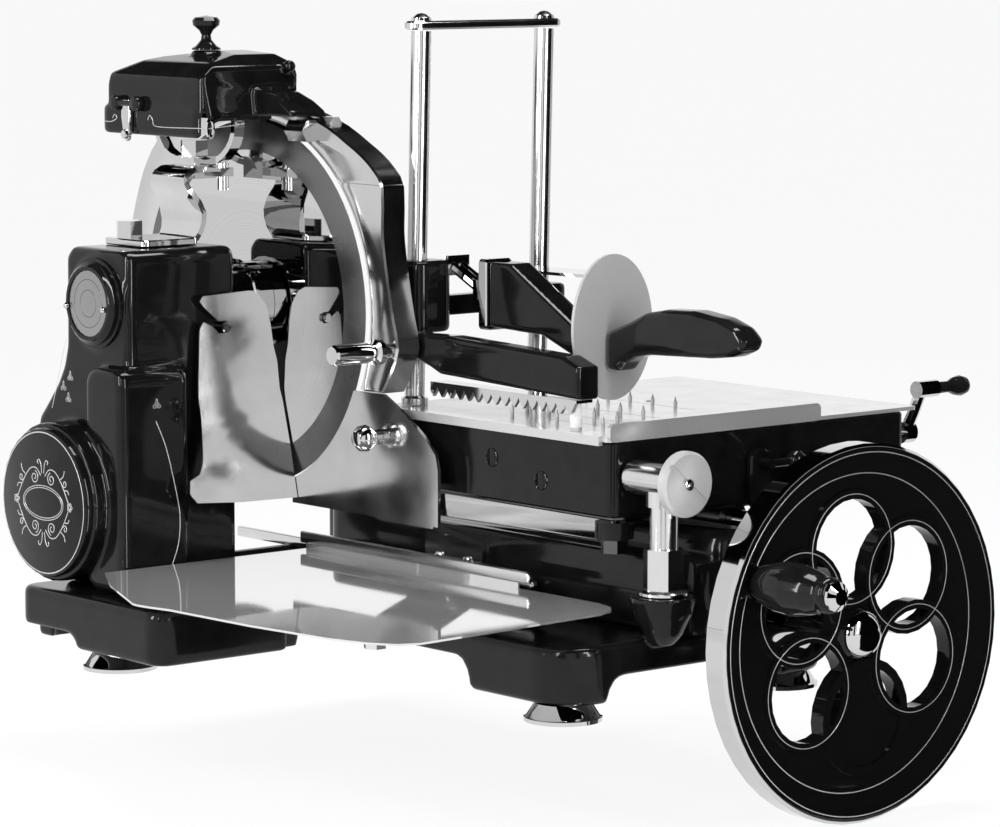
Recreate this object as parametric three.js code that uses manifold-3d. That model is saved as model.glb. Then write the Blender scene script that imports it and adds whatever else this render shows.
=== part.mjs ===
// Hand crank meat slicer: round blade in a ring guard, cranked by a flywheel with ring-shaped spokes.
// Millimetres. The origin lies under the blade's centre, in the cutting plane, at the level of the feet.
// +X runs along the carriage travel and the flywheel's axis, +Y from the blade to the meat table, +Z up.

import * as THREE from "three";
import { mergeVertices } from "three/addons/utils/BufferGeometryUtils.js";
import Module from "manifold-3d";

const wasm = await Module();
wasm.setup();

// Clearances
const SEAT = 0.3; // between two pieces that touch
const RUN = 0.5; // between a turning piece and its bearing
const SWEEP = 2.6; // between the blade's edge and its guards

// Blade and its guards
const BLADE_R = 150;
const BLADE_BEVEL = 25;
const BLADE_FACE_Y = -3;
const BLADE_Z = 283;
const GUARD_INNER_Y = -4;
const GUARD_OUTER_Y = 8;
const GUARD_RIM = 12; // the arch is deeper than the plate by this much
const GUARD_SINK_R = 166; // where the arch's face starts to slope in to the blade
const EDGE_COVER_TOP_Z = 388;
const GUARD_PLATE_T = 3;

// Base, feet and bed
const FOOT_H = 14;
const FOOT_TOP_R = 22;
const FOOT_BASE_R = 30;
const FOOT_RING_H = 3;
const BASE_TOP_Z = 58;
const BASE_WALL = 18;
const BASE_DECK = 9;
const APRON_LIFT = 20;
const PEDESTAL_X = [-70, 127];
const PEDESTAL_FRONT_Y = -190;
const BASE_RIGHT_X = 464;
const BASE_FRONT_Y = -60;
const BASE_REAR_Y = 224;
const BASE_CORNER_R = 16;
const BASE_WIDE_CORNER_R = 38;
const BED_Y = [50, 190];
const BED_X = [25, 482];
const BED_TOP_Z = 115;
const BED_END_TOP_Z = 132;
const BED_END_LENGTH = 150;
const CUP_R = 19;

// Drive housing and round cover
const HOUSING_X = [-54, 34];
const HOUSING_Y = [-150, -42];
const HOUSING_TOP_Z = 334;
const HOUSING_WALL = 8;
// out from the left side, height
const HOUSING_FLARE = [[1, 253], [6, 236], [15, 221], [29, 205], [42, 191], [48, 165]];
const GEAR_CASE_X = 46;
const GEAR_CASE_Y = [-166, -98];
const GEAR_CASE_TOP_Z = 240;
const DRUM_X = -36;
const DRUM_Z = 128;
const DRUM_R = 65;
const DRUM_DEPTH = 30;
const ROUND_COVER_R = 61;
const ROUND_COVER_T = 6;
const WINDOW_X = -6.5;
const WINDOW_Z = 290.5;
const WINDOW_R = 34;
const WINDOW_DIAL_R = 27;
const WINDOW_DEPTH = 9;
const WINDOW_SEAT = 2; // how far its seat stands out of the housing

// Drive train
const SHAFT_Y = 157;
const SHAFT_Z = 60;
const SHAFT_R = 9;
const CROSS_SHAFT_R = 7;
const BEVEL_R = 22;
const BEVEL_TEETH = 20;
const BEVEL_FACE = 9;
const CROSS_X = -8;
const TUNNEL_WALL = 5;
const CHAIN_Y = -105;
const CHAIN_PITCH = 6.35;
const LOWER_SPROCKET_TEETH = 26;
const UPPER_SPROCKET_TEETH = 11;
const LOWER_SPROCKET_R = (LOWER_SPROCKET_TEETH * CHAIN_PITCH) / (2 * Math.PI);
const UPPER_SPROCKET_R = (UPPER_SPROCKET_TEETH * CHAIN_PITCH) / (2 * Math.PI);
const CHAIN_T = 4;
const SPINDLE_R = 12;
const SLEEVE_R = 36.5;
const TUNNEL_R = 27;

// Flywheel
const WHEEL_BACK_X = 536;
const WHEEL_R = 145.7;
const WHEEL_RIM_WIDTH = 23;
const WHEEL_DISH_R = [124, 139.5]; // the face slopes back from the rim to the web between these radii
const WHEEL_WEB = [5, 15]; // back and face of the web, from the wheel's back
const SOLID_LOBE = 3;
const PETAL_CENTRE_R = 66;
const PETAL_R = 42;
const PETAL_RIB = 7.5;
const PETAL_RIB_T = 13;
const HUB_R = 21;
const HUB_TOP = 19;
const HUB_CAP_R = 18;
const HUB_SLEEVE_R = 24;
const GRIP_R = [118.1, 154.95]; // distance from the axle, and the turn in degrees from +Y
const GRIP_LENGTH = 78;
const GRIP_BOSS_TOP = 20;
const GRIP_SPINDLE_R = 6;

// Carriage, table and feed
const CARRIAGE_X = [150, 434];
const CARRIAGE_Y = [12, 327];
const CARRIAGE_Z = [148, 205.7];
const CARRIAGE_WALL = 6;
const GUIDE_ROD_Y = 160;
const GUIDE_ROD_Z = 132;
const GUIDE_ROD_R = 8;
const GUIDE_ROD_END_X = [32, 468];
const BEARING_R = 15;
const BEARING_LENGTH = 110;
const FRAME_Z = GUIDE_ROD_Z + BEARING_R - 3; // underside of the lower carriage
const TABLE_X = [148, 432];
const TABLE_Y = [10, 342];
const TABLE_TOP_Z = 209;
const TABLE_T = 3;
const TABLE_LIP = [14, 222]; // height of the rolled edge, and how far it runs along the front
const SPIKE_ROWS = 4;
const SPIKES_PER_ROW = 5;
const SPIKE_STEP = 27;
const SPIKE_H = 11;
const SPIKE_END_X = [375, 358, 345, 319];
const SPIKE_ROW_Y = [55, 85, 124, 182];
const FEED_SCREW_X = 410;
const FEED_SCREW_Z = 185;
const FEED_SCREW_R = 5;

// Press
const COLUMN_X = 165;
const COLUMN_Y = [38.5, 168];
const COLUMN_R = 8.2;
const COLUMN_TOP_Z = 509;
const COLUMN_LEAN = 1.5; // degrees, away from the blade
const ARM_X = [206, 384];
const ARM_Y = [21.5, 44];
const ARM_Z = [239, 270];
const COMB_Y = 21.5;
const COMB_T = 3;
const COMB_PITCH = 11;
const COMB_Z = [221, 232.7];
const HAND_GUARD = { x: 350, y: 85, z: 283, a: 41, b: 57, t: 3 };

// Regulator
const PILLAR_X = 470;
const PILLAR_Y = 32;
const PILLAR_Z = 93;
const DIAL_X = 500;
const DIAL_Y = 32;
const DIAL_Z = 179;
const DIAL_R = 25;

// Tray and deflector
const TRAY_Z = 81;
const TRAY_T = 1.6;
const TRAY_LIP_H = 9;
const DEFLECTOR_T = 1.5;
const DEFLECTOR_X = 39.5;

// Sharpener
const COVER_X = [-112, 37];
const COVER_Y = [-76, 25];
const COVER_Z = 421;
const COVER_SKIRT_TOP_Z = 445;
const COVER_STEP = 8; // the skirt stands out this far on the left
const COVER_NOTCH_Z = 435; // underside of the right wall
const COVER_WALL = 3;
// in from the left, height
const COVER_SHOULDER = [[0, 438], [1, 455], [8, 472], [42, 485], [84, 490.5], [122, 488], [136, 479],
  [141, 438]];
// Y, height
const COVER_SECTION = [[-75, 438], [-75, 470], [-60, 482], [-20, 490], [8, 491], [20, 482], [25, 462],
  [25, 438]];
// X, height
const COVER_TAIL = [[33, 430], [33, 461], [51, 458], [70, 451.5], [84, 444], [88, 436], [88, 430]];
const COVER_TAIL_UNDER = [[20, 458], [51, 455], [70, 448.5], [84, 441], [90, 430]];
const COVER_TAIL_Y = [-24, 12];
const COVER_KNOB = { x: -21, y: -30, z: 490.7, boss: 12.5 };
const SHARPENER_BAR = { x: [-86, 28], y: [-44, -27], z: [436, 443.7] };
const STRAP_X = [-46, 12];
const STONE_X = [-70, 10];
const STONE_Z = 452;
const STONE_R = 16;
const STONE_T = 9;

const ROUND = 28; // sides of a large round
const SMALL_ROUND = 16;
const WHEEL_SIDES = 48;

const finish = (color, roughness, metalness) => new THREE.MeshStandardMaterial({ color, roughness,
  metalness });
const enamel = finish(0x0a0a0b, 0.12, 0.0);
const chrome = finish(0xd8dadc, 0.08, 1.0);
const polished = finish(0xc8cacc, 0.12, 1.0);
const blackened = finish(0x202022, 0.3, 0.4);
const gearSteel = finish(0x8a8c90, 0.4, 1.0);
const dialGlass = finish(0xb8babc, 0.1, 0.0);
const stone = finish(0x9a948a, 0.9, 0.0);

// A geometry as a manifold-3d solid, and back
function solidOf(geometry) {
  const flat = geometry.index ? geometry.toNonIndexed() : geometry.clone();
  const bare = new THREE.BufferGeometry().setAttribute("position", flat.getAttribute("position"));
  const merged = mergeVertices(bare, 1e-4);
  return new wasm.Manifold(
    new wasm.Mesh({
      numProp: 3,
      vertProperties: merged.attributes.position.array,
      triVerts: new Uint32Array(merged.index.array),
    }),
  );
}

function geometryOf(solid) {
  const mesh = solid.getMesh();
  const geometry = new THREE.BufferGeometry();
  geometry.setAttribute("position", new THREE.BufferAttribute(new Float32Array(mesh.vertProperties), 3));
  geometry.setIndex(new THREE.BufferAttribute(new Uint32Array(mesh.triVerts), 1));
  return geometry;
}

function join(...geometries) {
  return geometryOf(geometries.map(solidOf).reduce((sum, next) => sum.add(next)));
}

function cut(geometry, ...tools) {
  return geometryOf(tools.map(solidOf).reduce((rest, tool) => rest.subtract(tool), solidOf(geometry)));
}

function common(a, b) {
  return geometryOf(solidOf(a).intersect(solidOf(b)));
}

function box(x, y, z) {
  const g = new THREE.BoxGeometry(x[1] - x[0], y[1] - y[0], z[1] - z[0]);
  return g.translate((x[0] + x[1]) / 2, (y[0] + y[1]) / 2, (z[0] + z[1]) / 2);
}

// A shape of revolution about Z: profile points are [radius, height]
function turned(profile, sides = SMALL_ROUND) {
  return new THREE.LatheGeometry(profile.map(([r, h]) => new THREE.Vector2(r, h)),
    sides).rotateX(Math.PI / 2);
}

// A lathe about Z leaves heights along +Z; these lay it along +X or +Y and set it down
const alongX = (g, x, y, z) => g.rotateY(Math.PI / 2).translate(x, y, z);
const alongY = (g, x, y, z) => g.rotateX(-Math.PI / 2).translate(x, y, z);
const alongZ = (g, x, y, z) => g.translate(x, y, z);

const rod = (r, length, sides = SMALL_ROUND) => turned([[0, 0], [r, 0], [r, length], [0, length]], sides);
const ring = (inner, outer, length, sides = SMALL_ROUND) =>
  turned([[inner, 0], [outer, 0], [outer, length], [inner, length], [inner, 0]], sides);

// A hexagon bar along Z
const hexBar = (across, length) => rod(across / Math.sqrt(3), length, 6);

function shapeOf(points) {
  return new THREE.Shape(points.map(([x, y]) => new THREE.Vector2(x, y)));
}

function roundedRect(x, y, r) {
  const s = new THREE.Shape();
  s.moveTo(x[0] + r, y[0]);
  s.lineTo(x[1] - r, y[0]);
  s.absarc(x[1] - r, y[0] + r, r, -Math.PI / 2, 0);
  s.lineTo(x[1], y[1] - r);
  s.absarc(x[1] - r, y[1] - r, r, 0, Math.PI / 2);
  s.lineTo(x[0] + r, y[1]);
  s.absarc(x[0] + r, y[1] - r, r, Math.PI / 2, Math.PI);
  s.lineTo(x[0], y[0] + r);
  s.absarc(x[0] + r, y[0] + r, r, Math.PI, 1.5 * Math.PI);
  return s;
}

// A flat outline given thickness. Plan: drawn in X and Y, rises along Z.
function slabZ(shape, z, bevel = 0, steps = 3) {
  const g = new THREE.ExtrudeGeometry(shape, {
    depth: z[1] - z[0] - 2 * bevel,
    curveSegments: steps,
    bevelEnabled: bevel > 0,
    bevelThickness: bevel,
    bevelSize: bevel,
    bevelOffset: -bevel,
    bevelSegments: bevel > 2 ? 2 : 1,
  });
  return g.translate(0, 0, z[0] + bevel);
}

// Elevation: drawn in X and Z, runs along Y
function slabY(shape, y, bevel = 0, steps = 3) {
  return slabZ(shape, [-y[1], -y[0]], bevel, steps).rotateX(Math.PI / 2);
}

// Side view: drawn in Y and Z, runs along X
function slabX(shape, x, bevel = 0, steps = 3) {
  return slabZ(shape, x, bevel, steps).rotateY(Math.PI / 2).rotateX(Math.PI / 2);
}

// Points of a smooth curve through the given ones
function smooth(points, steps) {
  const curve = new THREE.SplineCurve(points.map(([a, b]) => new THREE.Vector2(a, b)));
  return curve.getPoints((points.length - 1) * steps).map((p) => [p.x, p.y]);
}

// The outline of a strip of thickness t whose middle follows the given points
function strip(points, t, steps = 2) {
  const middle = smooth(points, steps);
  const side = (half) =>
    middle.map(([a, b], i) => {
      const [a0, b0] = middle[Math.max(i - 1, 0)];
      const [a1, b1] = middle[Math.min(i + 1, middle.length - 1)];
      const length = Math.hypot(a1 - a0, b1 - b0);
      return [a - (half * (b1 - b0)) / length, b + (half * (a1 - a0)) / length];
    });
  return shapeOf([...side(t / 2), ...side(-t / 2).reverse()]);
}

// A round bar along a smooth path
function bent(points, r, sides = 8, steps = 16) {
  const circle = new THREE.Shape().absarc(0, 0, r, 0, 2 * Math.PI);
  const path = new THREE.CatmullRomCurve3(points.map((p) => new THREE.Vector3(...p)));
  return new THREE.ExtrudeGeometry(circle, { extrudePath: path, steps, curveSegments: sides / 2 });
}

// A toothed wheel along Z. The far end can be smaller, for a bevel gear.
function toothed(teeth, pitchR, height, depth, bore, farScale = 1, turn = 0) {
  const outer = [];
  const step = (2 * Math.PI) / teeth;
  for (let i = 0; i < teeth; i++) {
    for (const [share, r] of [
      [-0.34, pitchR - 1.25 * height],
      [-0.1, pitchR + height],
      [0.1, pitchR + height],
      [0.34, pitchR - 1.25 * height],
    ]) {
      const a = (i + share + turn) * step;
      outer.push([r * Math.cos(a), r * Math.sin(a)]);
    }
  }
  const n = outer.length;
  const inner = outer.map(([x, y]) => {
    const k = bore / Math.hypot(x, y);
    return [x * k, y * k];
  });
  const position = [];
  const layer = (list, scale, z) => list.forEach(([x, y]) => position.push(x * scale, y * scale, z));
  layer(outer, 1, 0);
  layer(outer, farScale, depth);
  layer(inner, 1, depth);
  layer(inner, 1, 0);
  const index = [];
  const quad = (a, b, c, d) => index.push(a, b, c, a, c, d);
  for (let i = 0; i < n; i++) {
    const j = (i + 1) % n;
    for (let k = 0; k < 4; k++) {
      const next = (k + 1) % 4;
      quad(k * n + i, k * n + j, next * n + j, next * n + i);
    }
  }
  const g = new THREE.BufferGeometry();
  g.setAttribute("position", new THREE.Float32BufferAttribute(position, 3));
  g.setIndex(index);
  return g;
}

const slicer = new THREE.Group();

function put(name, geometry, material, parent = slicer) {
  const mesh = new THREE.Mesh(geometry, material);
  mesh.name = name;
  parent.add(mesh);
  return mesh;
}

const degrees = (a) => (a * Math.PI) / 180;
const polar = (r, a, x = 0, z = 0) => [x + r * Math.cos(degrees(a)), z + r * Math.sin(degrees(a))];

// Feet: four turned cones under the corners of the base
const FEET = { foot_front: [432, -35], foot_rear_right: [432, 191], foot_left: [37, -163],
  foot_rear_left: [-30, 191] };
for (const [name, [x, y]] of Object.entries(FEET)) {
  const profile = [
    [0, 0],
    [FOOT_BASE_R, 0],
    [FOOT_BASE_R, FOOT_RING_H],
    [FOOT_BASE_R - 2, FOOT_RING_H + 1],
    [FOOT_TOP_R, FOOT_H - SEAT],
    [0, FOOT_H - SEAT],
  ];
  put(name, alongZ(turned(profile, 24), x, y, 0), chrome);
}

// Base casting: L-shaped, hollow underneath, aprons lifted between the legs
const legZ = FOOT_H;
const basePlan = join(
  slabZ(roundedRect(PEDESTAL_X, [PEDESTAL_FRONT_Y, BASE_REAR_Y], BASE_CORNER_R), [legZ, BASE_TOP_Z], 4),
  slabZ(roundedRect([0, BASE_RIGHT_X], [BASE_FRONT_Y, BASE_REAR_Y], BASE_WIDE_CORNER_R),
    [legZ, BASE_TOP_Z], 4),
);
const inner = (range, t) => [range[0] + t, range[1] - t];
const baseCavity = join(
  slabZ(roundedRect(inner(PEDESTAL_X, BASE_WALL), inner([PEDESTAL_FRONT_Y, BASE_REAR_Y], BASE_WALL), 12),
    [0, BASE_TOP_Z - BASE_DECK]),
  box(inner([0, BASE_RIGHT_X], BASE_WALL), inner([BASE_FRONT_Y, BASE_REAR_Y], BASE_WALL),
    [0, BASE_TOP_Z - BASE_DECK]),
);
const arch = (from, to, rise) => {
  const s = new THREE.Shape();
  s.moveTo(from, 0);
  s.lineTo(to, 0);
  s.lineTo(to, legZ);
  s.quadraticCurveTo(to - 4, legZ + rise, to - 18, legZ + rise);
  s.lineTo(from + 18, legZ + rise);
  s.quadraticCurveTo(from + 4, legZ + rise, from, legZ);
  return s;
};
const bearingBoss = alongX(rod(HUB_SLEEVE_R + 6, 30, 24), BASE_RIGHT_X - 32, SHAFT_Y, SHAFT_Z);
const cup = turned([[0, 0], [8, 0], [CUP_R - 4, 8], [CUP_R + 4, 24], [CUP_R + 7, 38], [0, 38]], 24);
const tunnel = alongY(rod(CROSS_SHAFT_R + RUN + 3 + TUNNEL_WALL, 162, 20), CROSS_X, HOUSING_Y[1] + SEAT,
  SHAFT_Z);
const baseSolid = join(basePlan, bearingBoss, common(tunnel,
  box([-60, 60], [-60, SHAFT_Y - BEVEL_R - 24 - SEAT], [BASE_TOP_Z - 8, 90])),
  alongZ(cup, PILLAR_X, PILLAR_Y, BASE_TOP_Z - 4));
const shaftBore = alongX(rod(SHAFT_R + RUN, 120, 20), BASE_RIGHT_X - 60, SHAFT_Y, SHAFT_Z);
const chainSlot = box([CROSS_X - LOWER_SPROCKET_R - 7, CROSS_X + LOWER_SPROCKET_R + 7],
  [CHAIN_Y - 10, CHAIN_Y + 10], [BASE_TOP_Z - 12, BASE_TOP_Z + 2]);
const crossBore = alongY(rod(CROSS_SHAFT_R + RUN + 3, 240, 20), CROSS_X, CHAIN_Y - 10, SHAFT_Z);
const shaftSlot = box([CROSS_X - 32, BASE_RIGHT_X - 34], [SHAFT_Y - BEVEL_R - 16, SHAFT_Y + BEVEL_R + 6],
  [BASE_TOP_Z - 12, BASE_TOP_Z + 2]);
put(
  "base_casting",
  cut(
    baseSolid,
    baseCavity,
    slabY(arch(BASE_RIGHT_X - 350, BASE_RIGHT_X - 112, APRON_LIFT + 5),
      [BASE_FRONT_Y - 2, BASE_FRONT_Y + BASE_WALL + 2]),
    slabY(arch(PEDESTAL_X[0] - 30, 14, 13), [PEDESTAL_FRONT_Y - 2, PEDESTAL_FRONT_Y + BASE_WALL + 2]),
    slabX(arch(-18, BASE_REAR_Y - 60, APRON_LIFT), [BASE_RIGHT_X - BASE_WALL - 2, BASE_RIGHT_X + 2]),
    shaftBore,
    chainSlot,
    crossBore,
    shaftSlot,
  ),
  enamel,
);

// Bed casting on the base: hollow, with a raised rounded right end
const bedPlan = join(
  slabZ(roundedRect([CROSS_X - 42, BED_X[0] + 60], [SHAFT_Y - BEVEL_R - 24, BED_Y[1]], 14),
    [BASE_TOP_Z + SEAT, BED_TOP_Z - 8], 4),
  slabZ(roundedRect(BED_X, BED_Y, 26), [BASE_TOP_Z + SEAT, BED_TOP_Z], 4),
  slabZ(roundedRect([BED_X[1] - BED_END_LENGTH, BED_X[1]], [BED_Y[0] + 34, GUIDE_ROD_Y - BEARING_R - 3],
    20), [BED_TOP_Z - 10, BED_END_TOP_Z], 8),
  box([BED_X[0] + 4, BED_X[0] + 14], [GUIDE_ROD_Y - 14, GUIDE_ROD_Y + 14], [BED_TOP_Z - 10, FRAME_Z - RUN]),
  box([BED_X[1] - 22, BED_X[1] - 10], [GUIDE_ROD_Y - 14, GUIDE_ROD_Y + 14], [BED_TOP_Z - 10, FRAME_Z - RUN]),
);
const bedCavity = join(
  box([BED_X[0] + 10, BED_X[1] - 12], inner(BED_Y, 10), [0, BED_TOP_Z - 10]),
  box([CROSS_X - 34, BED_X[0] + 60], [SHAFT_Y - BEVEL_R - 16, BED_Y[1] - 7], [0, BED_TOP_Z - 16]),
);
const tunnelMouth = alongY(rod(CROSS_SHAFT_R + RUN + 3, 30, 20), CROSS_X, SHAFT_Y - BEVEL_R - 30, SHAFT_Z);
const rodBore = alongX(rod(GUIDE_ROD_R + SEAT, GUIDE_ROD_END_X[1] - GUIDE_ROD_END_X[0] + 2 * SEAT, 20),
  GUIDE_ROD_END_X[0] - SEAT, GUIDE_ROD_Y, GUIDE_ROD_Z);
const bossRoom = alongX(rod(HUB_SLEEVE_R + 6 + SEAT, 80, 24), BASE_RIGHT_X - 33, SHAFT_Y, SHAFT_Z);
const cupRoom = alongZ(rod(CUP_R + 8, 60, 24), PILLAR_X, PILLAR_Y, BASE_TOP_Z);
put("bed_casting", cut(bedPlan, bedCavity, rodBore, bossRoom, cupRoom, tunnelMouth), enamel);
put("guide_rod", alongX(rod(GUIDE_ROD_R, GUIDE_ROD_END_X[1] - GUIDE_ROD_END_X[0], 20),
  GUIDE_ROD_END_X[0], GUIDE_ROD_Y, GUIDE_ROD_Z), chrome);

// Drive housing: upright case with a flared left side that runs into the drum
const drumArc = [180, 200, 220, 238].map((a) => polar(DRUM_R - 3, a, DRUM_X, DRUM_Z));
const housingOutline = [
  [HOUSING_X[1], BASE_TOP_Z + SEAT],
  [HOUSING_X[1], HOUSING_TOP_Z - 6],
  [HOUSING_X[1] - 6, HOUSING_TOP_Z],
  [HOUSING_X[0] + 8, HOUSING_TOP_Z],
  [HOUSING_X[0], HOUSING_TOP_Z - 8],
  ...HOUSING_FLARE.map(([out, z]) => [HOUSING_X[0] - out, z]),
  ...drumArc,
  [-60, BASE_TOP_Z + SEAT],
];
const insetOutline = [
  [HOUSING_X[1] - HOUSING_WALL, 0],
  [HOUSING_X[1] - HOUSING_WALL, HOUSING_TOP_Z - HOUSING_WALL],
  [HOUSING_X[0] + HOUSING_WALL, HOUSING_TOP_Z - HOUSING_WALL],
  [HOUSING_X[0] + HOUSING_WALL, 245],
  [-80, 185],
  [-87, 128],
  [-70, 84],
  [-52, 70],
  [-52, 0],
];
const drum = join(
  alongY(rod(DRUM_R, DRUM_DEPTH + 2, ROUND), DRUM_X, HOUSING_Y[0] - DRUM_DEPTH, DRUM_Z),
  slabY(roundedRect([HOUSING_X[1] - 10, GEAR_CASE_X], [BASE_TOP_Z + SEAT, GEAR_CASE_TOP_Z], 10),
    GEAR_CASE_Y, 5),
  slabY(roundedRect([DRUM_X + 30, GEAR_CASE_X], [BASE_TOP_Z + SEAT, GEAR_CASE_TOP_Z], 14),
    [GEAR_CASE_Y[0], HOUSING_Y[0] + 10], 5),
);
const windowSeat = alongY(rod(WINDOW_R + 4, WINDOW_SEAT + 2, ROUND), WINDOW_X,
  HOUSING_Y[0] - WINDOW_SEAT, WINDOW_Z);
const sleeveBore = alongY(rod(TUNNEL_R + SEAT, 60, 24), 0, HOUSING_Y[1] - 40, BLADE_Z);
put(
  "drive_housing",
  cut(
    join(slabY(shapeOf(housingOutline), HOUSING_Y, 5), drum, windowSeat),
    slabY(shapeOf(insetOutline), inner(HOUSING_Y, HOUSING_WALL)),
    alongY(rod(DRUM_R - HOUSING_WALL, DRUM_DEPTH + 12, 24), DRUM_X, HOUSING_Y[0] - DRUM_DEPTH + 8, DRUM_Z),
    alongY(rod(16, 60, 20), DRUM_X, HOUSING_Y[0] - DRUM_DEPTH - 1, DRUM_Z),
    sleeveBore,
    alongY(rod(CROSS_SHAFT_R + RUN + 3, 30, 20), CROSS_X, HOUSING_Y[1] - 20, SHAFT_Z),
  ),
  enamel,
);
const coverProfile = [
  [0, 0],
  [ROUND_COVER_R - 4, 0],
  [ROUND_COVER_R - 1, 1.2],
  [ROUND_COVER_R, 3],
  [ROUND_COVER_R, ROUND_COVER_T],
  [14, ROUND_COVER_T],
  [14, ROUND_COVER_T + 6],
  [0, ROUND_COVER_T + 6],
];
put("round_cover", alongY(turned(coverProfile, ROUND), DRUM_X,
  HOUSING_Y[0] - DRUM_DEPTH - SEAT - ROUND_COVER_T, DRUM_Z), enamel);
const bezelProfile = [
  [WINDOW_DIAL_R, 0],
  [WINDOW_R - 4, 0],
  [WINDOW_R - 2, 2],
  [WINDOW_R, 3],
  [WINDOW_R, WINDOW_DEPTH - 3],
  [WINDOW_R + 3, WINDOW_DEPTH - 2.5],
  [WINDOW_R + 3, WINDOW_DEPTH],
  [12, WINDOW_DEPTH],
  [12, WINDOW_DEPTH - 3],
  [WINDOW_DIAL_R, WINDOW_DEPTH - 3],
  [WINDOW_DIAL_R, 0],
];
const windowY = HOUSING_Y[0] - WINDOW_SEAT - SEAT - WINDOW_DEPTH;
put("window_bezel", alongY(turned(bezelProfile, ROUND), WINDOW_X, windowY, WINDOW_Z), enamel);
put("window_dial", alongY(rod(WINDOW_DIAL_R - SEAT, 3, ROUND), WINDOW_X, windowY + 1, WINDOW_Z), dialGlass);

// Spindle, sleeve and blade
put("spindle_sleeve", alongY(turned([
  [SPINDLE_R + RUN, 0],
  [TUNNEL_R, 0],
  [TUNNEL_R, 12],
  [SLEEVE_R, 12],
  [SLEEVE_R, 30],
  [SLEEVE_R + 1.5, 31],
  [SLEEVE_R + 1.5, 34],
  [SPINDLE_R + RUN, 34],
  [SPINDLE_R + RUN, 0],
], 24), 0, HOUSING_Y[1] - 12 + SEAT, BLADE_Z), chrome);
const bladeDisc = turned([
  [0, 0],
  [BLADE_R - BLADE_BEVEL, 0],
  [BLADE_R, 3.4],
  [BLADE_R, 3.7],
  [BLADE_R - 12, 4.5],
  [0, 4.5],
], 80);
put("blade", alongY(bladeDisc, 0, BLADE_FACE_Y, BLADE_Z), polished);
const spindleProfile = [[0, 0], [SPINDLE_R - 4, 0], [SPINDLE_R - 4, 22], [SPINDLE_R, 22],
  [SPINDLE_R, 88], [SLEEVE_R - 2, 90], [SLEEVE_R - 2, 104], [0, 104]];
put("blade_spindle", alongY(turned(spindleProfile, 24), 0, BLADE_FACE_Y - SEAT - 104, BLADE_Z), chrome);

// Guard: a deep arch round the blade's edge, and a flat plate that carries it on the bed
const archRight = [[176, 222], [187, 238], [196, 259], [190, 283], [184, 309], [179, 335], [177, 352],
  [177, 386]];
const archTop = [[166, 400], [150, 411], [132, 420], [106, 432], [70, 443], [35, 452], [0, 456],
  [-35, 453], [-70, 444], [-100, 431], [-128, 413]];
const archLeft = [[-144, 394], [-154, 376], [-164, 350], [-170, 327], [-176, 283], [-172, 245], [-166, 222]];
const archOutline = shapeOf(smooth([...archRight, ...archTop, ...archLeft], 2));
const bladeHole = alongY(rod(BLADE_R + SWEEP, 60, 96), 0, GUARD_INNER_Y - 20, BLADE_Z);
const sinkProfile = [[0, 0], [GUARD_SINK_R, 0], [BLADE_R + SWEEP, 7], [0, 7]];
const countersink = alongY(turned(sinkProfile, 96), 0, GUARD_INNER_Y, BLADE_Z);
const archY = [GUARD_INNER_Y, GUARD_OUTER_Y + GUARD_RIM];
const guardArch = cut(slabY(archOutline, archY, 1.5), bladeHole, countersink);
const rightBelow = (z) => box([60, 400], [-50, 50], [0, z]);
const hingeBolt = alongX(hexBar(17, 24), 70, -10, 428);
const hingeNut = alongX(hexBar(11, 16), 92, 4, 434);
put("blade_guard", join(cut(guardArch, rightBelow(EDGE_COVER_TOP_Z)), hingeBolt, hingeNut), polished);
put("edge_cover", common(guardArch, rightBelow(EDGE_COVER_TOP_Z - SEAT)), polished);
const plateOutline = [[58, 122], [246, 122], [246, 167], [243, 179], [229, 192], [205, 208],
  [178, 221.5], [100, 221.5], [58, 160]];
const bedFront = BED_Y[0] - SEAT;
const fold = shapeOf([
  [GUARD_INNER_Y, 123],
  [GUARD_INNER_Y + GUARD_PLATE_T, 125],
  [bedFront, 103],
  [bedFront, 78 + TRAY_LIP_H + 2],
  [bedFront - GUARD_PLATE_T, 78 + TRAY_LIP_H + 2],
  [bedFront - GUARD_PLATE_T, 101],
  [GUARD_INNER_Y, 120],
]);
put(
  "guard_plate",
  cut(join(slabY(shapeOf(plateOutline), [GUARD_INNER_Y, GUARD_INNER_Y + GUARD_PLATE_T]),
    slabX(fold, [168, 240])), bladeHole),
  polished,
);
const knobY = GUARD_INNER_Y - SEAT;
put("guard_lock_knob", turned([[0, 0], [7, 0], [8.5, 2], [8.5, 34], [7, 38], [7, 41], [10.5, 43],
  [10.5, 48], [6, 50], [6, 58], [0, 58]]).rotateX(-Math.PI / 2).translate(186, knobY - 58, 257), chrome);
put("guard_round_knob", turned([[0, 0], [6, 1], [10, 5], [11, 10], [9, 15], [6, 18], [6, 24],
  [0, 24]]).rotateX(-Math.PI / 2).translate(172, knobY - 24, 187), chrome);

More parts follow.
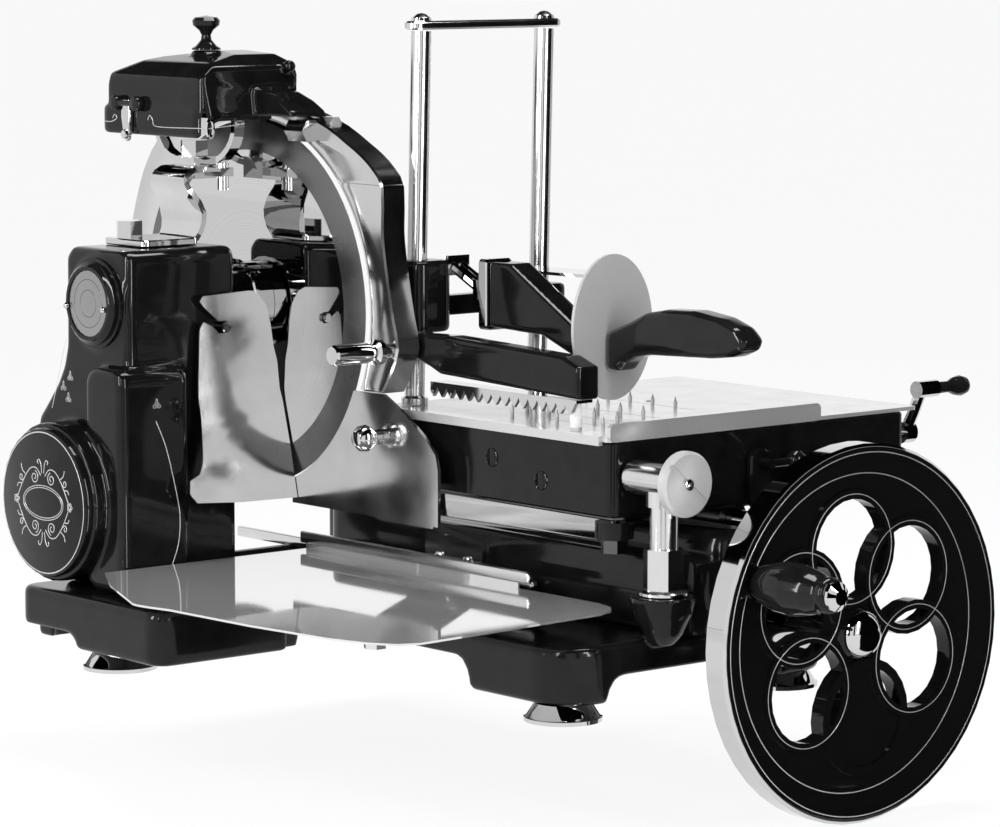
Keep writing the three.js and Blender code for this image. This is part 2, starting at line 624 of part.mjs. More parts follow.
// Slice deflector and tray
const deflectorSide = [
  [-81, 295], [-84, 291], [-79, 285], [-66, 274], [-58, 274], [-56, 269], [-58, 264], [-66, 264], [-72,
    270], [-81, 274],
  [-85, 268], [-89, 195], [-94, 163], [-99, 153], [-109, 149], [-111, 139], [-105, 131], [-61,
    128], [-4.6, 127],
  [-4.6, 205], [-7.5, 238], [-11, 251], [-13, 267], [-17, 284], [-25, 294], [-34, 297],
];
const deflectorBend = [[66, 118], [54.5, 170], [42, 215], [DEFLECTOR_X, 300]];
const sheetAcross = [...deflectorBend, ...deflectorBend.map(([x, z]) => [x + DEFLECTOR_T,
  z]).reverse()].reverse();
put("slice_deflector", common(slabY(shapeOf(sheetAcross), [-130, 0]),
  slabX(shapeOf([...deflectorSide].reverse()), [0, 100])), polished);
put("deflector_pin", alongX(rod(4, 13, 12), HOUSING_X[1] + SEAT, -61, 269), chrome);
const trayOutline = new THREE.Shape();
trayOutline.moveTo(50, -186);
trayOutline.lineTo(103, -218);
trayOutline.lineTo(186, -255);
trayOutline.quadraticCurveTo(194, -258, 226, -250);
trayOutline.lineTo(322, -246);
trayOutline.lineTo(405, -236);
trayOutline.quadraticCurveTo(462, -224, 463, -198);
trayOutline.lineTo(452, -16);
trayOutline.quadraticCurveTo(448, 14, 414, 16);
trayOutline.lineTo(320, 16);
trayOutline.lineTo(50, 16);
const trayLip = box([52, 322], [16 - TRAY_T, 16], [TRAY_Z - TRAY_T / 2, TRAY_Z + TRAY_LIP_H]);
const trayStud = alongZ(hexBar(15, 12), 400, -190, TRAY_Z - TRAY_T - 11.5);
const trayFeet = [[120, -30], [300, -30]].map(([x, y]) => alongZ(rod(8,
  TRAY_Z - BASE_TOP_Z - SEAT - TRAY_T / 2), x, y, BASE_TOP_Z + SEAT));
put("slice_tray", join(slabZ(trayOutline, [TRAY_Z - TRAY_T, TRAY_Z]), trayLip, trayStud, ...trayFeet),
  polished);

// Flywheel: chrome rim, dished web and interlocking rings round the hub, one of them a solid lobe
const rimProfile = [
  [WHEEL_DISH_R[0] - 8, WHEEL_WEB[0]],
  [WHEEL_R - 15, WHEEL_WEB[0]],
  [WHEEL_R - 10, 0],
  [WHEEL_R - 3, 0],
  [WHEEL_R, 3],
  [WHEEL_R, WHEEL_RIM_WIDTH - 3],
  [WHEEL_R - 2.7, WHEEL_RIM_WIDTH],
  [WHEEL_DISH_R[1], WHEEL_RIM_WIDTH],
  [WHEEL_DISH_R[0], WHEEL_WEB[1]],
  [WHEEL_DISH_R[0] - 8, WHEEL_WEB[1]],
  [WHEEL_DISH_R[0] - 8, WHEEL_WEB[0]],
];
const petalAngle = (i) => 97 + i * 60;
const web = rod(WHEEL_DISH_R[0] - 6, WHEEL_WEB[1] - WHEEL_WEB[0], WHEEL_SIDES).translate(0, 0, WHEEL_WEB[0]);
const petalHoles = [];
const ribs = [];
for (let i = 0; i < 6; i++) {
  const [x, y] = polar(PETAL_CENTRE_R, petalAngle(i));
  if (i !== SOLID_LOBE) petalHoles.push(rod(PETAL_R - PETAL_RIB / 2, 60, 24).translate(x, y, 0));
  const rib = ring(PETAL_R - PETAL_RIB / 2, PETAL_R + PETAL_RIB / 2, PETAL_RIB_T, 24);
  ribs.push(rib.translate(x, y, WHEEL_WEB[0] - 1));
}
const hubProfile = [
  [0, 0],
  [HUB_SLEEVE_R, 0],
  [HUB_SLEEVE_R, WHEEL_WEB[0]],
  [HUB_R, WHEEL_WEB[1]],
  [HUB_CAP_R, HUB_TOP],
  [0, HUB_TOP],
];
const gripAt = polar(GRIP_R[0], GRIP_R[1]);
const gripBoss = rod(13, GRIP_BOSS_TOP - WHEEL_WEB[0], 20).translate(gripAt[0], gripAt[1], WHEEL_WEB[0]);
const wheelSolid = join(cut(web, ...petalHoles), turned(rimProfile, WHEEL_SIDES), ...ribs,
  turned(hubProfile, 24), gripBoss);
const shaftDepth = HUB_TOP - 3;
const wheelBores = [
  rod(SHAFT_R + SEAT, shaftDepth + 2, 20).translate(0, 0, -1),
  rod(GRIP_SPINDLE_R + SEAT, 80, 16).translate(gripAt[0], gripAt[1], 0),
];
// The wheel is drawn lying flat, its own X along +Y of the frame and its own Y along +Z
const stand = (g) => g.rotateY(Math.PI / 2).rotateX(Math.PI / 2).translate(WHEEL_BACK_X, SHAFT_Y, SHAFT_Z);
put("flywheel", stand(cut(wheelSolid, ...wheelBores)), enamel);
const capProfile = [[0, 0], [HUB_CAP_R - 1, 0], [HUB_CAP_R, 2], [HUB_CAP_R - 2, 6], [HUB_CAP_R - 7, 9],
  [0, 9.7]];
put("hub_cap", alongX(turned(capProfile, 24), WHEEL_BACK_X + HUB_TOP + SEAT, SHAFT_Y, SHAFT_Z), chrome);
const gripY = SHAFT_Y + gripAt[0];
const gripZ = SHAFT_Z + gripAt[1];
const gripX = WHEEL_BACK_X + GRIP_BOSS_TOP + SEAT;
const gripShape = [
  [GRIP_SPINDLE_R + RUN, 0],
  [12, 0],
  [15, 6],
  [19, 22],
  [20, 38],
  [17, 56],
  [13, 68],
  [14, 74],
  [12, GRIP_LENGTH],
  [GRIP_SPINDLE_R + RUN, GRIP_LENGTH],
  [GRIP_SPINDLE_R + RUN, 0],
];
put("hand_grip", alongX(turned(gripShape, 28), gripX, gripY, gripZ), enamel);
const gripPin = [
  [0, 0],
  [GRIP_SPINDLE_R, 0],
  [GRIP_SPINDLE_R, 20 + GRIP_LENGTH + RUN],
  [11, 20 + GRIP_LENGTH + RUN],
  [11, 23 + GRIP_LENGTH],
  [6, 27 + GRIP_LENGTH],
  [0, 27 + GRIP_LENGTH],
];
put("grip_spindle", alongX(turned(gripPin, 20), gripX - 20, gripY, gripZ), chrome);
put("shaft_sleeve", alongX(ring(SHAFT_R + RUN, HUB_SLEEVE_R - 4, WHEEL_BACK_X - BASE_RIGHT_X - 2 * SEAT,
  24), BASE_RIGHT_X + SEAT, SHAFT_Y, SHAFT_Z), chrome);

// Drive train under the bed: shaft, bevel pair, cross shaft, chain to the blade spindle
const bevelX = CROSS_X + BEVEL_R + 3;
const bevelFar = (BEVEL_R - BEVEL_FACE) / BEVEL_R;
const bevelWheel = toothed(BEVEL_TEETH, BEVEL_R, 1.4, BEVEL_FACE, SHAFT_R - 2,
  bevelFar).rotateX(Math.PI).translate(0, 0, BEVEL_FACE + 1);
put("drive_shaft", alongX(join(rod(SHAFT_R, WHEEL_BACK_X + shaftDepth - bevelX, 20), bevelWheel), bevelX,
  SHAFT_Y, SHAFT_Z), gearSteel);
const pinionY = SHAFT_Y - BEVEL_R - 3;
const bevelPinion = toothed(BEVEL_TEETH, BEVEL_R, 1.4, BEVEL_FACE, CROSS_SHAFT_R - 2, bevelFar,
  0.5).translate(0, 0, pinionY - BEVEL_FACE - CHAIN_Y + 8);
const lowerSprocket = toothed(LOWER_SPROCKET_TEETH, LOWER_SPROCKET_R, 2, CHAIN_T - 1,
  CROSS_SHAFT_R - 2).translate(0, 0, 6.5);
const crossShaft = rod(CROSS_SHAFT_R, pinionY - CHAIN_Y + 6, 20);
put("cross_shaft", alongY(join(crossShaft, bevelPinion, lowerSprocket), CROSS_X, CHAIN_Y - 8, SHAFT_Z),
  gearSteel);
put("upper_sprocket", alongY(toothed(UPPER_SPROCKET_TEETH, UPPER_SPROCKET_R, 1.8, CHAIN_T - 1,
  SPINDLE_R - 4 + SEAT), 0, CHAIN_Y - CHAIN_T / 2 + 0.5, BLADE_Z), gearSteel);
const chainRun = (r) => {
  const from = [CROSS_X, SHAFT_Z, LOWER_SPROCKET_R + r];
  const to = [0, BLADE_Z, UPPER_SPROCKET_R + r];
  const along = Math.atan2(to[1] - from[1], to[0] - from[0]);
  const tilt = Math.asin((from[2] - to[2]) / Math.hypot(to[0] - from[0], to[1] - from[1]));
  const s = new THREE.Shape();
  s.absarc(to[0], to[1], to[2], along - Math.PI / 2 + tilt, along + Math.PI / 2 - tilt);
  s.absarc(from[0], from[1], from[2], along + Math.PI / 2 - tilt, along + 1.5 * Math.PI + tilt);
  return s;
};
const chainLoop = chainRun(5.5);
chainLoop.holes.push(new THREE.Path(chainRun(2.4).getPoints(10).reverse()));
put("drive_chain", slabY(chainLoop, [CHAIN_Y - CHAIN_T / 2, CHAIN_Y + CHAIN_T / 2], 0, 10), gearSteel);

// Lower carriage: frame, bearing on the guide rod, front roller
const frameZ = [FRAME_Z, CARRIAGE_Z[0] - SEAT];
const bearing = alongX(rod(BEARING_R, BEARING_LENGTH, 20), 300, GUIDE_ROD_Y, GUIDE_ROD_Z);
const bearingBore = alongX(rod(GUIDE_ROD_R + RUN, BEARING_LENGTH + 4, 20), 298, GUIDE_ROD_Y, GUIDE_ROD_Z);
const rollerPost = alongZ(rod(4, frameZ[0] - 118, 12), 412, 34, 118);
const rollerNut = alongZ(hexBar(19, 10), 412, 34, 118);
const carriageFrame = join(slabZ(roundedRect([200, 428], [22, 232], 12), frameZ, 1), bearing, rollerPost,
  rollerNut);
put("lower_carriage", cut(carriageFrame, bearingBore), blackened);
put("front_roller", alongZ(ring(4 + RUN, 15, 13, 24), 412, 34, 129), enamel);

// Meat table: black box, polished sheet with rolled lip and spikes, feed screw and crank
const tableBox = slabZ(roundedRect(CARRIAGE_X, CARRIAGE_Y, 8), CARRIAGE_Z, 1.5);
const tableRoom = box(inner(CARRIAGE_X, CARRIAGE_WALL), inner(CARRIAGE_Y, CARRIAGE_WALL),
  [CARRIAGE_Z[0] - 2, CARRIAGE_Z[1] - CARRIAGE_WALL]);
const screwBore = alongY(rod(FEED_SCREW_R + RUN, 60, 16), FEED_SCREW_X, CARRIAGE_Y[1] - 30, FEED_SCREW_Z);
put("table_body", cut(tableBox, tableRoom, screwBore), enamel);
const tableSheet = slabZ(roundedRect(TABLE_X, TABLE_Y, 4), [TABLE_TOP_Z - TABLE_T, TABLE_TOP_Z]);
const edgeStrip = box([TABLE_X[0] + 4, TABLE_X[1] - 8], [TABLE_Y[0] - 3, TABLE_Y[0] + 1],
  [TABLE_TOP_Z - TABLE_T - 3, TABLE_TOP_Z + 1]);
const lip = slabX(roundedRect([TABLE_Y[0], TABLE_Y[0] + TABLE_LIP[1]],
  [TABLE_TOP_Z - TABLE_T, TABLE_TOP_Z - TABLE_T + TABLE_LIP[0]], 5), [TABLE_X[1] - 2, TABLE_X[1] + 2]);
const spikes = [];
for (let row = 0; row < SPIKE_ROWS; row++) {
  for (let i = 0; i < SPIKES_PER_ROW; i++) {
    const spike = turned([[0, 0], [1.4, 0], [1.8, 5], [0, SPIKE_H]], 6);
    spikes.push(alongZ(spike, SPIKE_END_X[row] - i * SPIKE_STEP, SPIKE_ROW_Y[row], TABLE_TOP_Z - 1));
  }
}
put("table_sheet", join(tableSheet, edgeStrip, lip, ...spikes), polished);
const crankY = TABLE_Y[1] + 3;
const armEnd = [FEED_SCREW_X + 16, crankY + 8, FEED_SCREW_Z + 36];
const crankArm = join(
  alongY(rod(FEED_SCREW_R, crankY - 54, 16), FEED_SCREW_X, 60, FEED_SCREW_Z),
  alongY(rod(9, 12, 20), FEED_SCREW_X, crankY, FEED_SCREW_Z),
  bent([[FEED_SCREW_X, crankY + 6, FEED_SCREW_Z], [FEED_SCREW_X + 7, crankY + 8, FEED_SCREW_Z + 16],
    armEnd], 5, 8, 6),
  alongY(rod(7, 22, 16), armEnd[0], crankY + 2, armEnd[2]),
);
put("feed_crank", crankArm, chrome);
put("crank_knob", alongY(turned([[0, 0], [5, 0], [4.5, 14], [7, 20], [8.5, 27], [7, 33], [3, 36],
  [0, 36.5]], 16), armEnd[0], crankY + 24 + SEAT, armEnd[2]), enamel);
const leverShape = roundedRect([150, 172], [CARRIAGE_Z[0] - 5, 190], 9);
put("table_lever", join(slabX(leverShape, [CARRIAGE_X[1] + SEAT, CARRIAGE_X[1] + 7], 1.5),
  alongX(rod(4, 14), CARRIAGE_X[1] + 4, 162, 179), alongY(rod(3.5, 30), CARRIAGE_X[1] + 15, 160, 179),
  new THREE.SphereGeometry(9, 10, 6).translate(CARRIAGE_X[1] + 16, 190, 179)), enamel);

// Press: columns and crossbar, clamp head, arm with comb, lever box, guards, paddle
const leaning = (g) => g.rotateX(degrees(-COLUMN_LEAN));
const columnFoot = TABLE_TOP_Z + 2 * SEAT + 0.1;
const columnLength = COLUMN_TOP_Z - columnFoot;
COLUMN_Y.forEach((y, i) => {
  const column = leaning(turned([[0, 0], [11, 0], [11, 5], [COLUMN_R, 7], [COLUMN_R, columnLength],
    [0, columnLength]], 20));
  put(i ? "rear_column" : "front_column", column.translate(COLUMN_X, y, columnFoot), chrome);
});
const topY = (y) => y + Math.tan(degrees(COLUMN_LEAN)) * columnLength;
const crossbar = slabZ(roundedRect([COLUMN_X - 10, COLUMN_X + 10],
  [topY(COLUMN_Y[0]) - 14, topY(COLUMN_Y[1]) + 14], 9), [COLUMN_TOP_Z + 1, COLUMN_TOP_Z + 8], 1.5);
const caps = COLUMN_Y.map((y) => alongZ(turned([[0, 0], [9, 0], [8, 3], [4, 6], [0, 7]], 16), COLUMN_X,
  topY(y), COLUMN_TOP_Z + 7.5));
put("press_crossbar", join(crossbar, ...caps), chrome);
const headBore = leaning(rod(COLUMN_R + RUN, 240, 20)).translate(COLUMN_X, COLUMN_Y[0], columnFoot);
const rearBore = leaning(rod(COLUMN_R + RUN, 240, 20)).translate(COLUMN_X, COLUMN_Y[1], columnFoot);
const head = join(
  slabZ(roundedRect([COLUMN_X - 17, COLUMN_X + 19], [26, 66], 12), [268, 326], 4),
  slabZ(roundedRect([COLUMN_X - 12, COLUMN_X + 14], [150, 192], 10), [276, 300], 3),
  box([COLUMN_X - 7, COLUMN_X + 7], [60, 156], [280, 296]),
);
const armProfile = new THREE.Shape();
armProfile.moveTo(ARM_X[0] - 46, 268);
armProfile.lineTo(ARM_X[0] - 46, 254);
armProfile.quadraticCurveTo(ARM_X[0] - 4, 246, ARM_X[0] + 10, ARM_Z[0]);
armProfile.lineTo(ARM_X[1], ARM_Z[0] - 6);
armProfile.lineTo(ARM_X[1], ARM_Z[1] - 12);
armProfile.lineTo(ARM_X[1] - 20, ARM_Z[1] - 5);
armProfile.lineTo(ARM_X[0] + 20, ARM_Z[1]);
const arm = slabY(armProfile, ARM_Y, 3);
const headSolid = join(head, arm);
put("press_head", cut(headSolid, headBore, rearBore), enamel);
const combShape = new THREE.Shape();
const teeth = Math.floor((ARM_X[1] - ARM_X[0]) / COMB_PITCH);
combShape.moveTo(ARM_X[0], COMB_Z[1]);
for (let i = 0; i < teeth; i++) {
  const x = ARM_X[0] + i * COMB_PITCH;
  combShape.lineTo(x, COMB_Z[0] + 4);
  combShape.lineTo(x + COMB_PITCH * 0.3, COMB_Z[0]);
  combShape.lineTo(x + COMB_PITCH * 0.6, COMB_Z[0] + 4);
  combShape.lineTo(x + COMB_PITCH * 0.8, COMB_Z[0] + 8);
}
combShape.lineTo(ARM_X[0] + teeth * COMB_PITCH, COMB_Z[1]);
const combPlate = slabY(combShape, [COMB_Y, COMB_Y + COMB_T]);
const combFoot = box([ARM_X[0], ARM_X[0] + teeth * COMB_PITCH], [COMB_Y, ARM_Y[1] - 6],
  [COMB_Z[1] - 2.5, COMB_Z[1]]);
put("press_comb", join(combPlate, combFoot), chrome);
const boxLow = ARM_Z[1] + SEAT;
const leverBox = slabX(roundedRect([54, 82], [boxLow + 3, 330], 4), [226, 236], 1);
put("lever_end_plate", leverBox, chrome);
const leverBody = new THREE.Shape();
leverBody.moveTo(236 + SEAT, 276);
leverBody.lineTo(300, 274);
leverBody.lineTo(HAND_GUARD.x - SEAT, 256);
leverBody.lineTo(HAND_GUARD.x - SEAT, 278);
leverBody.lineTo(262, 328);
leverBody.lineTo(236 + SEAT, 328);
put("press_lever", slabY(leverBody, [56, 80], 2), enamel);
put("lever_bars", join(
  bent([[COLUMN_X + 20.5, 70, 322], [226 - SEAT - 4, 70, 305]], 4, 8, 2),
  bent([[COLUMN_X + 20.5, 60, 322], [226 - SEAT - 4, 60, 305]], 4, 8, 2),
  box([COLUMN_X + 19 + SEAT, COLUMN_X + 24], [54, 76], [314, 330]),
  box([226 - SEAT - 6, 226 - SEAT], [54, 76], [297, 313]),
), chrome);
const leafShape = new THREE.Shape();
leafShape.moveTo(COLUMN_X + 20, 94);
leafShape.quadraticCurveTo(260, 84, 300, 92);
leafShape.quadraticCurveTo(330, 100, 334, 112);
leafShape.quadraticCurveTo(290, 132, 230, 122);
leafShape.quadraticCurveTo(205, 116, COLUMN_X + 20, 104);
const leafTab = box([226, 236], [82 + SEAT, 96], [0, 2.5]);
put("leaf_guard", join(slabZ(leafShape, [0, 2.5]), leafTab).translate(0, 0, 318), chrome);
const ovalShape = new THREE.Shape().absellipse(HAND_GUARD.y, HAND_GUARD.z, HAND_GUARD.a, HAND_GUARD.b, 0,
  2 * Math.PI);
put("hand_guard", slabX(ovalShape, [HAND_GUARD.x, HAND_GUARD.x + HAND_GUARD.t], 0, 40), polished);
const paddle = new THREE.Shape();
paddle.moveTo(HAND_GUARD.x + 3 + SEAT, 280);
paddle.lineTo(HAND_GUARD.x + 3 + SEAT, 250);
paddle.lineTo(366, 250);
paddle.quadraticCurveTo(372, 262, 400, 265);
paddle.lineTo(470, 268);
paddle.quadraticCurveTo(510, 270, 509, 284);
paddle.quadraticCurveTo(500, 300, 450, 303);
paddle.quadraticCurveTo(400, 304, 380, 290);
put("paddle_handle", slabY(paddle, [76, 100], 4), enamel);
const rollerFoot = TABLE_TOP_Z + 2;
const rollerTop = COMB_Z[1] - 2.5 - SEAT;
put("press_roller", alongZ(rod(5, rollerTop - rollerFoot, 12), 372, 30, rollerFoot), dialGlass);

// Thickness regulator on its pillar
put("regulator_pillar", join(
  alongZ(turned([[0, 0], [19, 0], [19, 2], [16, 4], [0, 4]], 24), 0, 0, 0),
  alongZ(hexBar(28, 32), 0, 0, 3),
  alongZ(rod(11, DIAL_Z - PILLAR_Z - 33 - 13, 20), 0, 0, 33),
).translate(PILLAR_X, PILLAR_Y, PILLAR_Z), chrome);
put("regulator_body", cut(
  join(alongX(rod(13, DIAL_X - 12.5 - PILLAR_X + 33, 24), PILLAR_X - 33, DIAL_Y, DIAL_Z),
    alongZ(rod(14, 12, 20), PILLAR_X, PILLAR_Y, DIAL_Z - 19)),
  alongX(rod(5 + RUN, 90, 16), PILLAR_X - 40, DIAL_Y, DIAL_Z),
  alongZ(rod(11 + SEAT, 60, 20), PILLAR_X, PILLAR_Y, DIAL_Z - 13 + SEAT - 60),
), chrome);
const dialBody = turned([[0, 0], [DIAL_R - 2, 0], [DIAL_R, 2], [DIAL_R, 8], [DIAL_R - 2, 10], [0, 10]],
  ROUND);
const groove = box([-2, 2], [-DIAL_R, DIAL_R], [8.8, 12]).rotateZ(degrees(-40));
const dialShaft = rod(5, DIAL_X - PILLAR_X + 26, 16).translate(0, 0, PILLAR_X + 12 - DIAL_X - 36);
put("regulator_dial", alongX(join(cut(dialBody, groove), dialShaft), DIAL_X - 12, DIAL_Y, DIAL_Z), chrome);

// Sharpener: hinged cover, knobs, post with strap and bow, and two grinding wheels inside the cover
const coverBody = (shrink) => {
  const shoulder = smooth(COVER_SHOULDER.map(([x, z]) => [COVER_X[0] + COVER_STEP + x, z]), 1);
  const plan = roundedRect([COVER_X[0] + COVER_STEP, COVER_X[1]], COVER_Y, 12);
  const bevel = shrink ? 0 : 3;
  const sides = common(
    slabY(shapeOf(shoulder), inner([COVER_Y[0] + 1, COVER_Y[1]], shrink), bevel),
    slabX(shapeOf(COVER_SECTION), inner([COVER_X[0] + COVER_STEP, COVER_X[1]], shrink), bevel),
  );
  return shrink ? sides : common(sides, slabZ(plan, [COVER_Z, 500]));
};
const skirt = slabZ(roundedRect(COVER_X, COVER_Y, 14), [COVER_Z, COVER_SKIRT_TOP_Z], 2);
const skirtRoom = box(inner(COVER_X, COVER_WALL), inner(COVER_Y, COVER_WALL),
  [COVER_Z - 1, COVER_SKIRT_TOP_Z - COVER_WALL]);
const domeRoom = coverBody(COVER_WALL).translate(0, 0, -COVER_WALL);
const notchShape = roundedRect([COVER_Y[0] + 10, COVER_Y[1] + 20], [COVER_Z - 20, COVER_NOTCH_Z], 8);
const notch = slabX(notchShape, [COVER_X[1] - COVER_WALL - 9, COVER_X[1] + 2]);
const guardSlot = box([-200, COVER_X[1] + 1], [GUARD_INNER_Y - 1.5, archY[1] + 1.5], [COVER_Z - 20, 458.5]);
const roof = shapeOf(COVER_TAIL);
const roofUnder = shapeOf([[20, COVER_Z], ...COVER_TAIL_UNDER, [90, COVER_Z]]);
const tailRoom = slabY(roofUnder, [COVER_TAIL_Y[0] + COVER_WALL, COVER_TAIL_Y[1] + 2]);
const underTail = box([30, 100], [-60, 40], [COVER_Z, COVER_NOTCH_Z + 4]);
const tail = cut(slabY(roof, COVER_TAIL_Y), tailRoom, underTail);
const sideKnob = alongX(turned([[0, 0], [3, 0], [3, 5], [6, 8], [5, 13], [0, 14]], 12), COVER_X[1] - 9,
  11, 478);
const knobBoss = alongZ(rod(COVER_KNOB.boss, 6, 20), COVER_KNOB.x, COVER_KNOB.y, COVER_KNOB.z - 6);
const seatBoss = alongZ(
  rod(7, COVER_KNOB.z - 4 - SHARPENER_BAR.z[1] - SEAT),
  COVER_KNOB.x,
  COVER_KNOB.y,
  SHARPENER_BAR.z[1] + SEAT,
);
const coverShell = cut(join(skirt, coverBody(0)), skirtRoom, domeRoom, notch, guardSlot);
put("sharpener_cover", join(coverShell, tail, sideKnob, knobBoss, seatBoss), enamel);
const knobProfile = [
  [0, 0],
  [12, 0],
  [12, 1.5],
  [9, 3],
  [4.5, 8],
  [3.9, 12],
  [6, 16],
  [11, 20],
  [11.6, 24],
  [9.5, 26.5],
  [0, 28],
];
put("cover_knob", alongZ(turned(knobProfile), COVER_KNOB.x, COVER_KNOB.y, COVER_KNOB.z + SEAT), chrome);
const strapSection = [[-72, 337], [-62, 339], [-57, 352], [-60, 368], [-68, 379], [-70, 387], [-62, 394],
  [-44, 395]];
const [strapLeft, strapRight] = STRAP_X;
const strapFront = shapeOf([
  [strapLeft + 6, 330],
  [strapRight - 6, 330],
  [strapRight, 359],
  [strapRight - 12, 402],
  [strapLeft + 6, 402],
  [strapLeft, 359],
]);
const strap = common(slabX(strip(strapSection, 5), STRAP_X), slabY(strapFront, [-100, -20]));
const bowPath = [[-84, 440], [-81, 424], [-70, 407], [-50, 400], [-22, 398], [2, 401], [18, 411],
  [26, 424], [27, 440]];
const bow = slabY(strip(bowPath, 5), [-39, -29]);
put(
  "sharpener_post",
  join(
    slabZ(roundedRect(STRAP_X, [-118, -62], 6), [HOUSING_TOP_Z + SEAT, HOUSING_TOP_Z + 6], 1),
    alongZ(hexBar(20, 15), -25, -106, HOUSING_TOP_Z + 5),
    strap,
    box([strapLeft + 6, -12], [-50, -27], [386, 404]),
    alongZ(hexBar(21, 14), -28, -38, 403),
    box([-14, 18], [-45, -32], [389, 396]),
    alongZ(rod(5, 22, 12), 11, -38, 378),
    bow,
    box(SHARPENER_BAR.x, SHARPENER_BAR.y, SHARPENER_BAR.z),
  ),
  chrome,
);
for (const [i, end] of ["front", "rear"].entries()) {
  const x = STONE_X[i];
  const block = box([x - 10, x + 10], [-44, -28], [SHARPENER_BAR.z[1] + SEAT, STONE_Z + 8]);
  const axle = alongY(rod(4 - RUN, 14, 12), x, -29, STONE_Z);
  put(`${end}_stone_holder`, join(block, axle), chrome);
  put(`${end}_stone`, alongY(ring(4, STONE_R, STONE_T, 24), x, -24, STONE_Z), stone);
}

export default slicer;
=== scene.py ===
"""Looks of a hand crank meat slicer with a flywheel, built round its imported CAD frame."""

from __future__ import annotations

import logging
import math
from dataclasses import dataclass, field
from enum import Enum

import bmesh
import bpy
from mathutils import Matrix, Vector


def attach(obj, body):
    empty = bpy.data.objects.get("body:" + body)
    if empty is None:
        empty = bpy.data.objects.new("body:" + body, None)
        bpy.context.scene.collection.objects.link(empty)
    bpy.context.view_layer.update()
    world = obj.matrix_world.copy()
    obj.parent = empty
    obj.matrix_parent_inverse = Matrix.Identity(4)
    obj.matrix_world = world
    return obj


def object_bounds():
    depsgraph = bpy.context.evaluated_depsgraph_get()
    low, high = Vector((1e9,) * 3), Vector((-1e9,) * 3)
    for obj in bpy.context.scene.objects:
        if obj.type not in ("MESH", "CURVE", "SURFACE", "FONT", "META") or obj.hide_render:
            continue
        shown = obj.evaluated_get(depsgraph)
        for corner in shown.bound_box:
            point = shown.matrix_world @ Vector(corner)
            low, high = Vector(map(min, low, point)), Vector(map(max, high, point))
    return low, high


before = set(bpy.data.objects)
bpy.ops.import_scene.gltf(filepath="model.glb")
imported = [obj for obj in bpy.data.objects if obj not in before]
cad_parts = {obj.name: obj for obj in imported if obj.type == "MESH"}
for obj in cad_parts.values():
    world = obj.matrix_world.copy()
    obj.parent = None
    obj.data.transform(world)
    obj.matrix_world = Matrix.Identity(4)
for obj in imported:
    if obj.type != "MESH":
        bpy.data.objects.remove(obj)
CAD_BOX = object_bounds()
LOG = logging.getLogger("slicer")
MM = 0.001

Point = tuple[float, float, float]
Flat = tuple[float, float]
Line = tuple[Flat, ...]
Socket = bpy.types.NodeSocket
Material = bpy.types.Material

BLADE_CENTRE: Point = (0, 0, 283)
WHEEL_CENTRE: Point = (536, 157, 60)
LIFT = 0.02  # how far the underside of a loose piece lies over its face, in millimetres


class Axis(Enum):
    """A direction of the part's frame."""

    X = 0
    Y = 1
    Z = 2


class Maths(Enum):
    """How two values are put together."""

    MULTIPLY = "MULTIPLY"
    MAXIMUM = "MAXIMUM"


def metres(point: Point) -> Vector:
    """Returns a point that is given in millimetres as a vector in metres."""
    return Vector(point) * MM


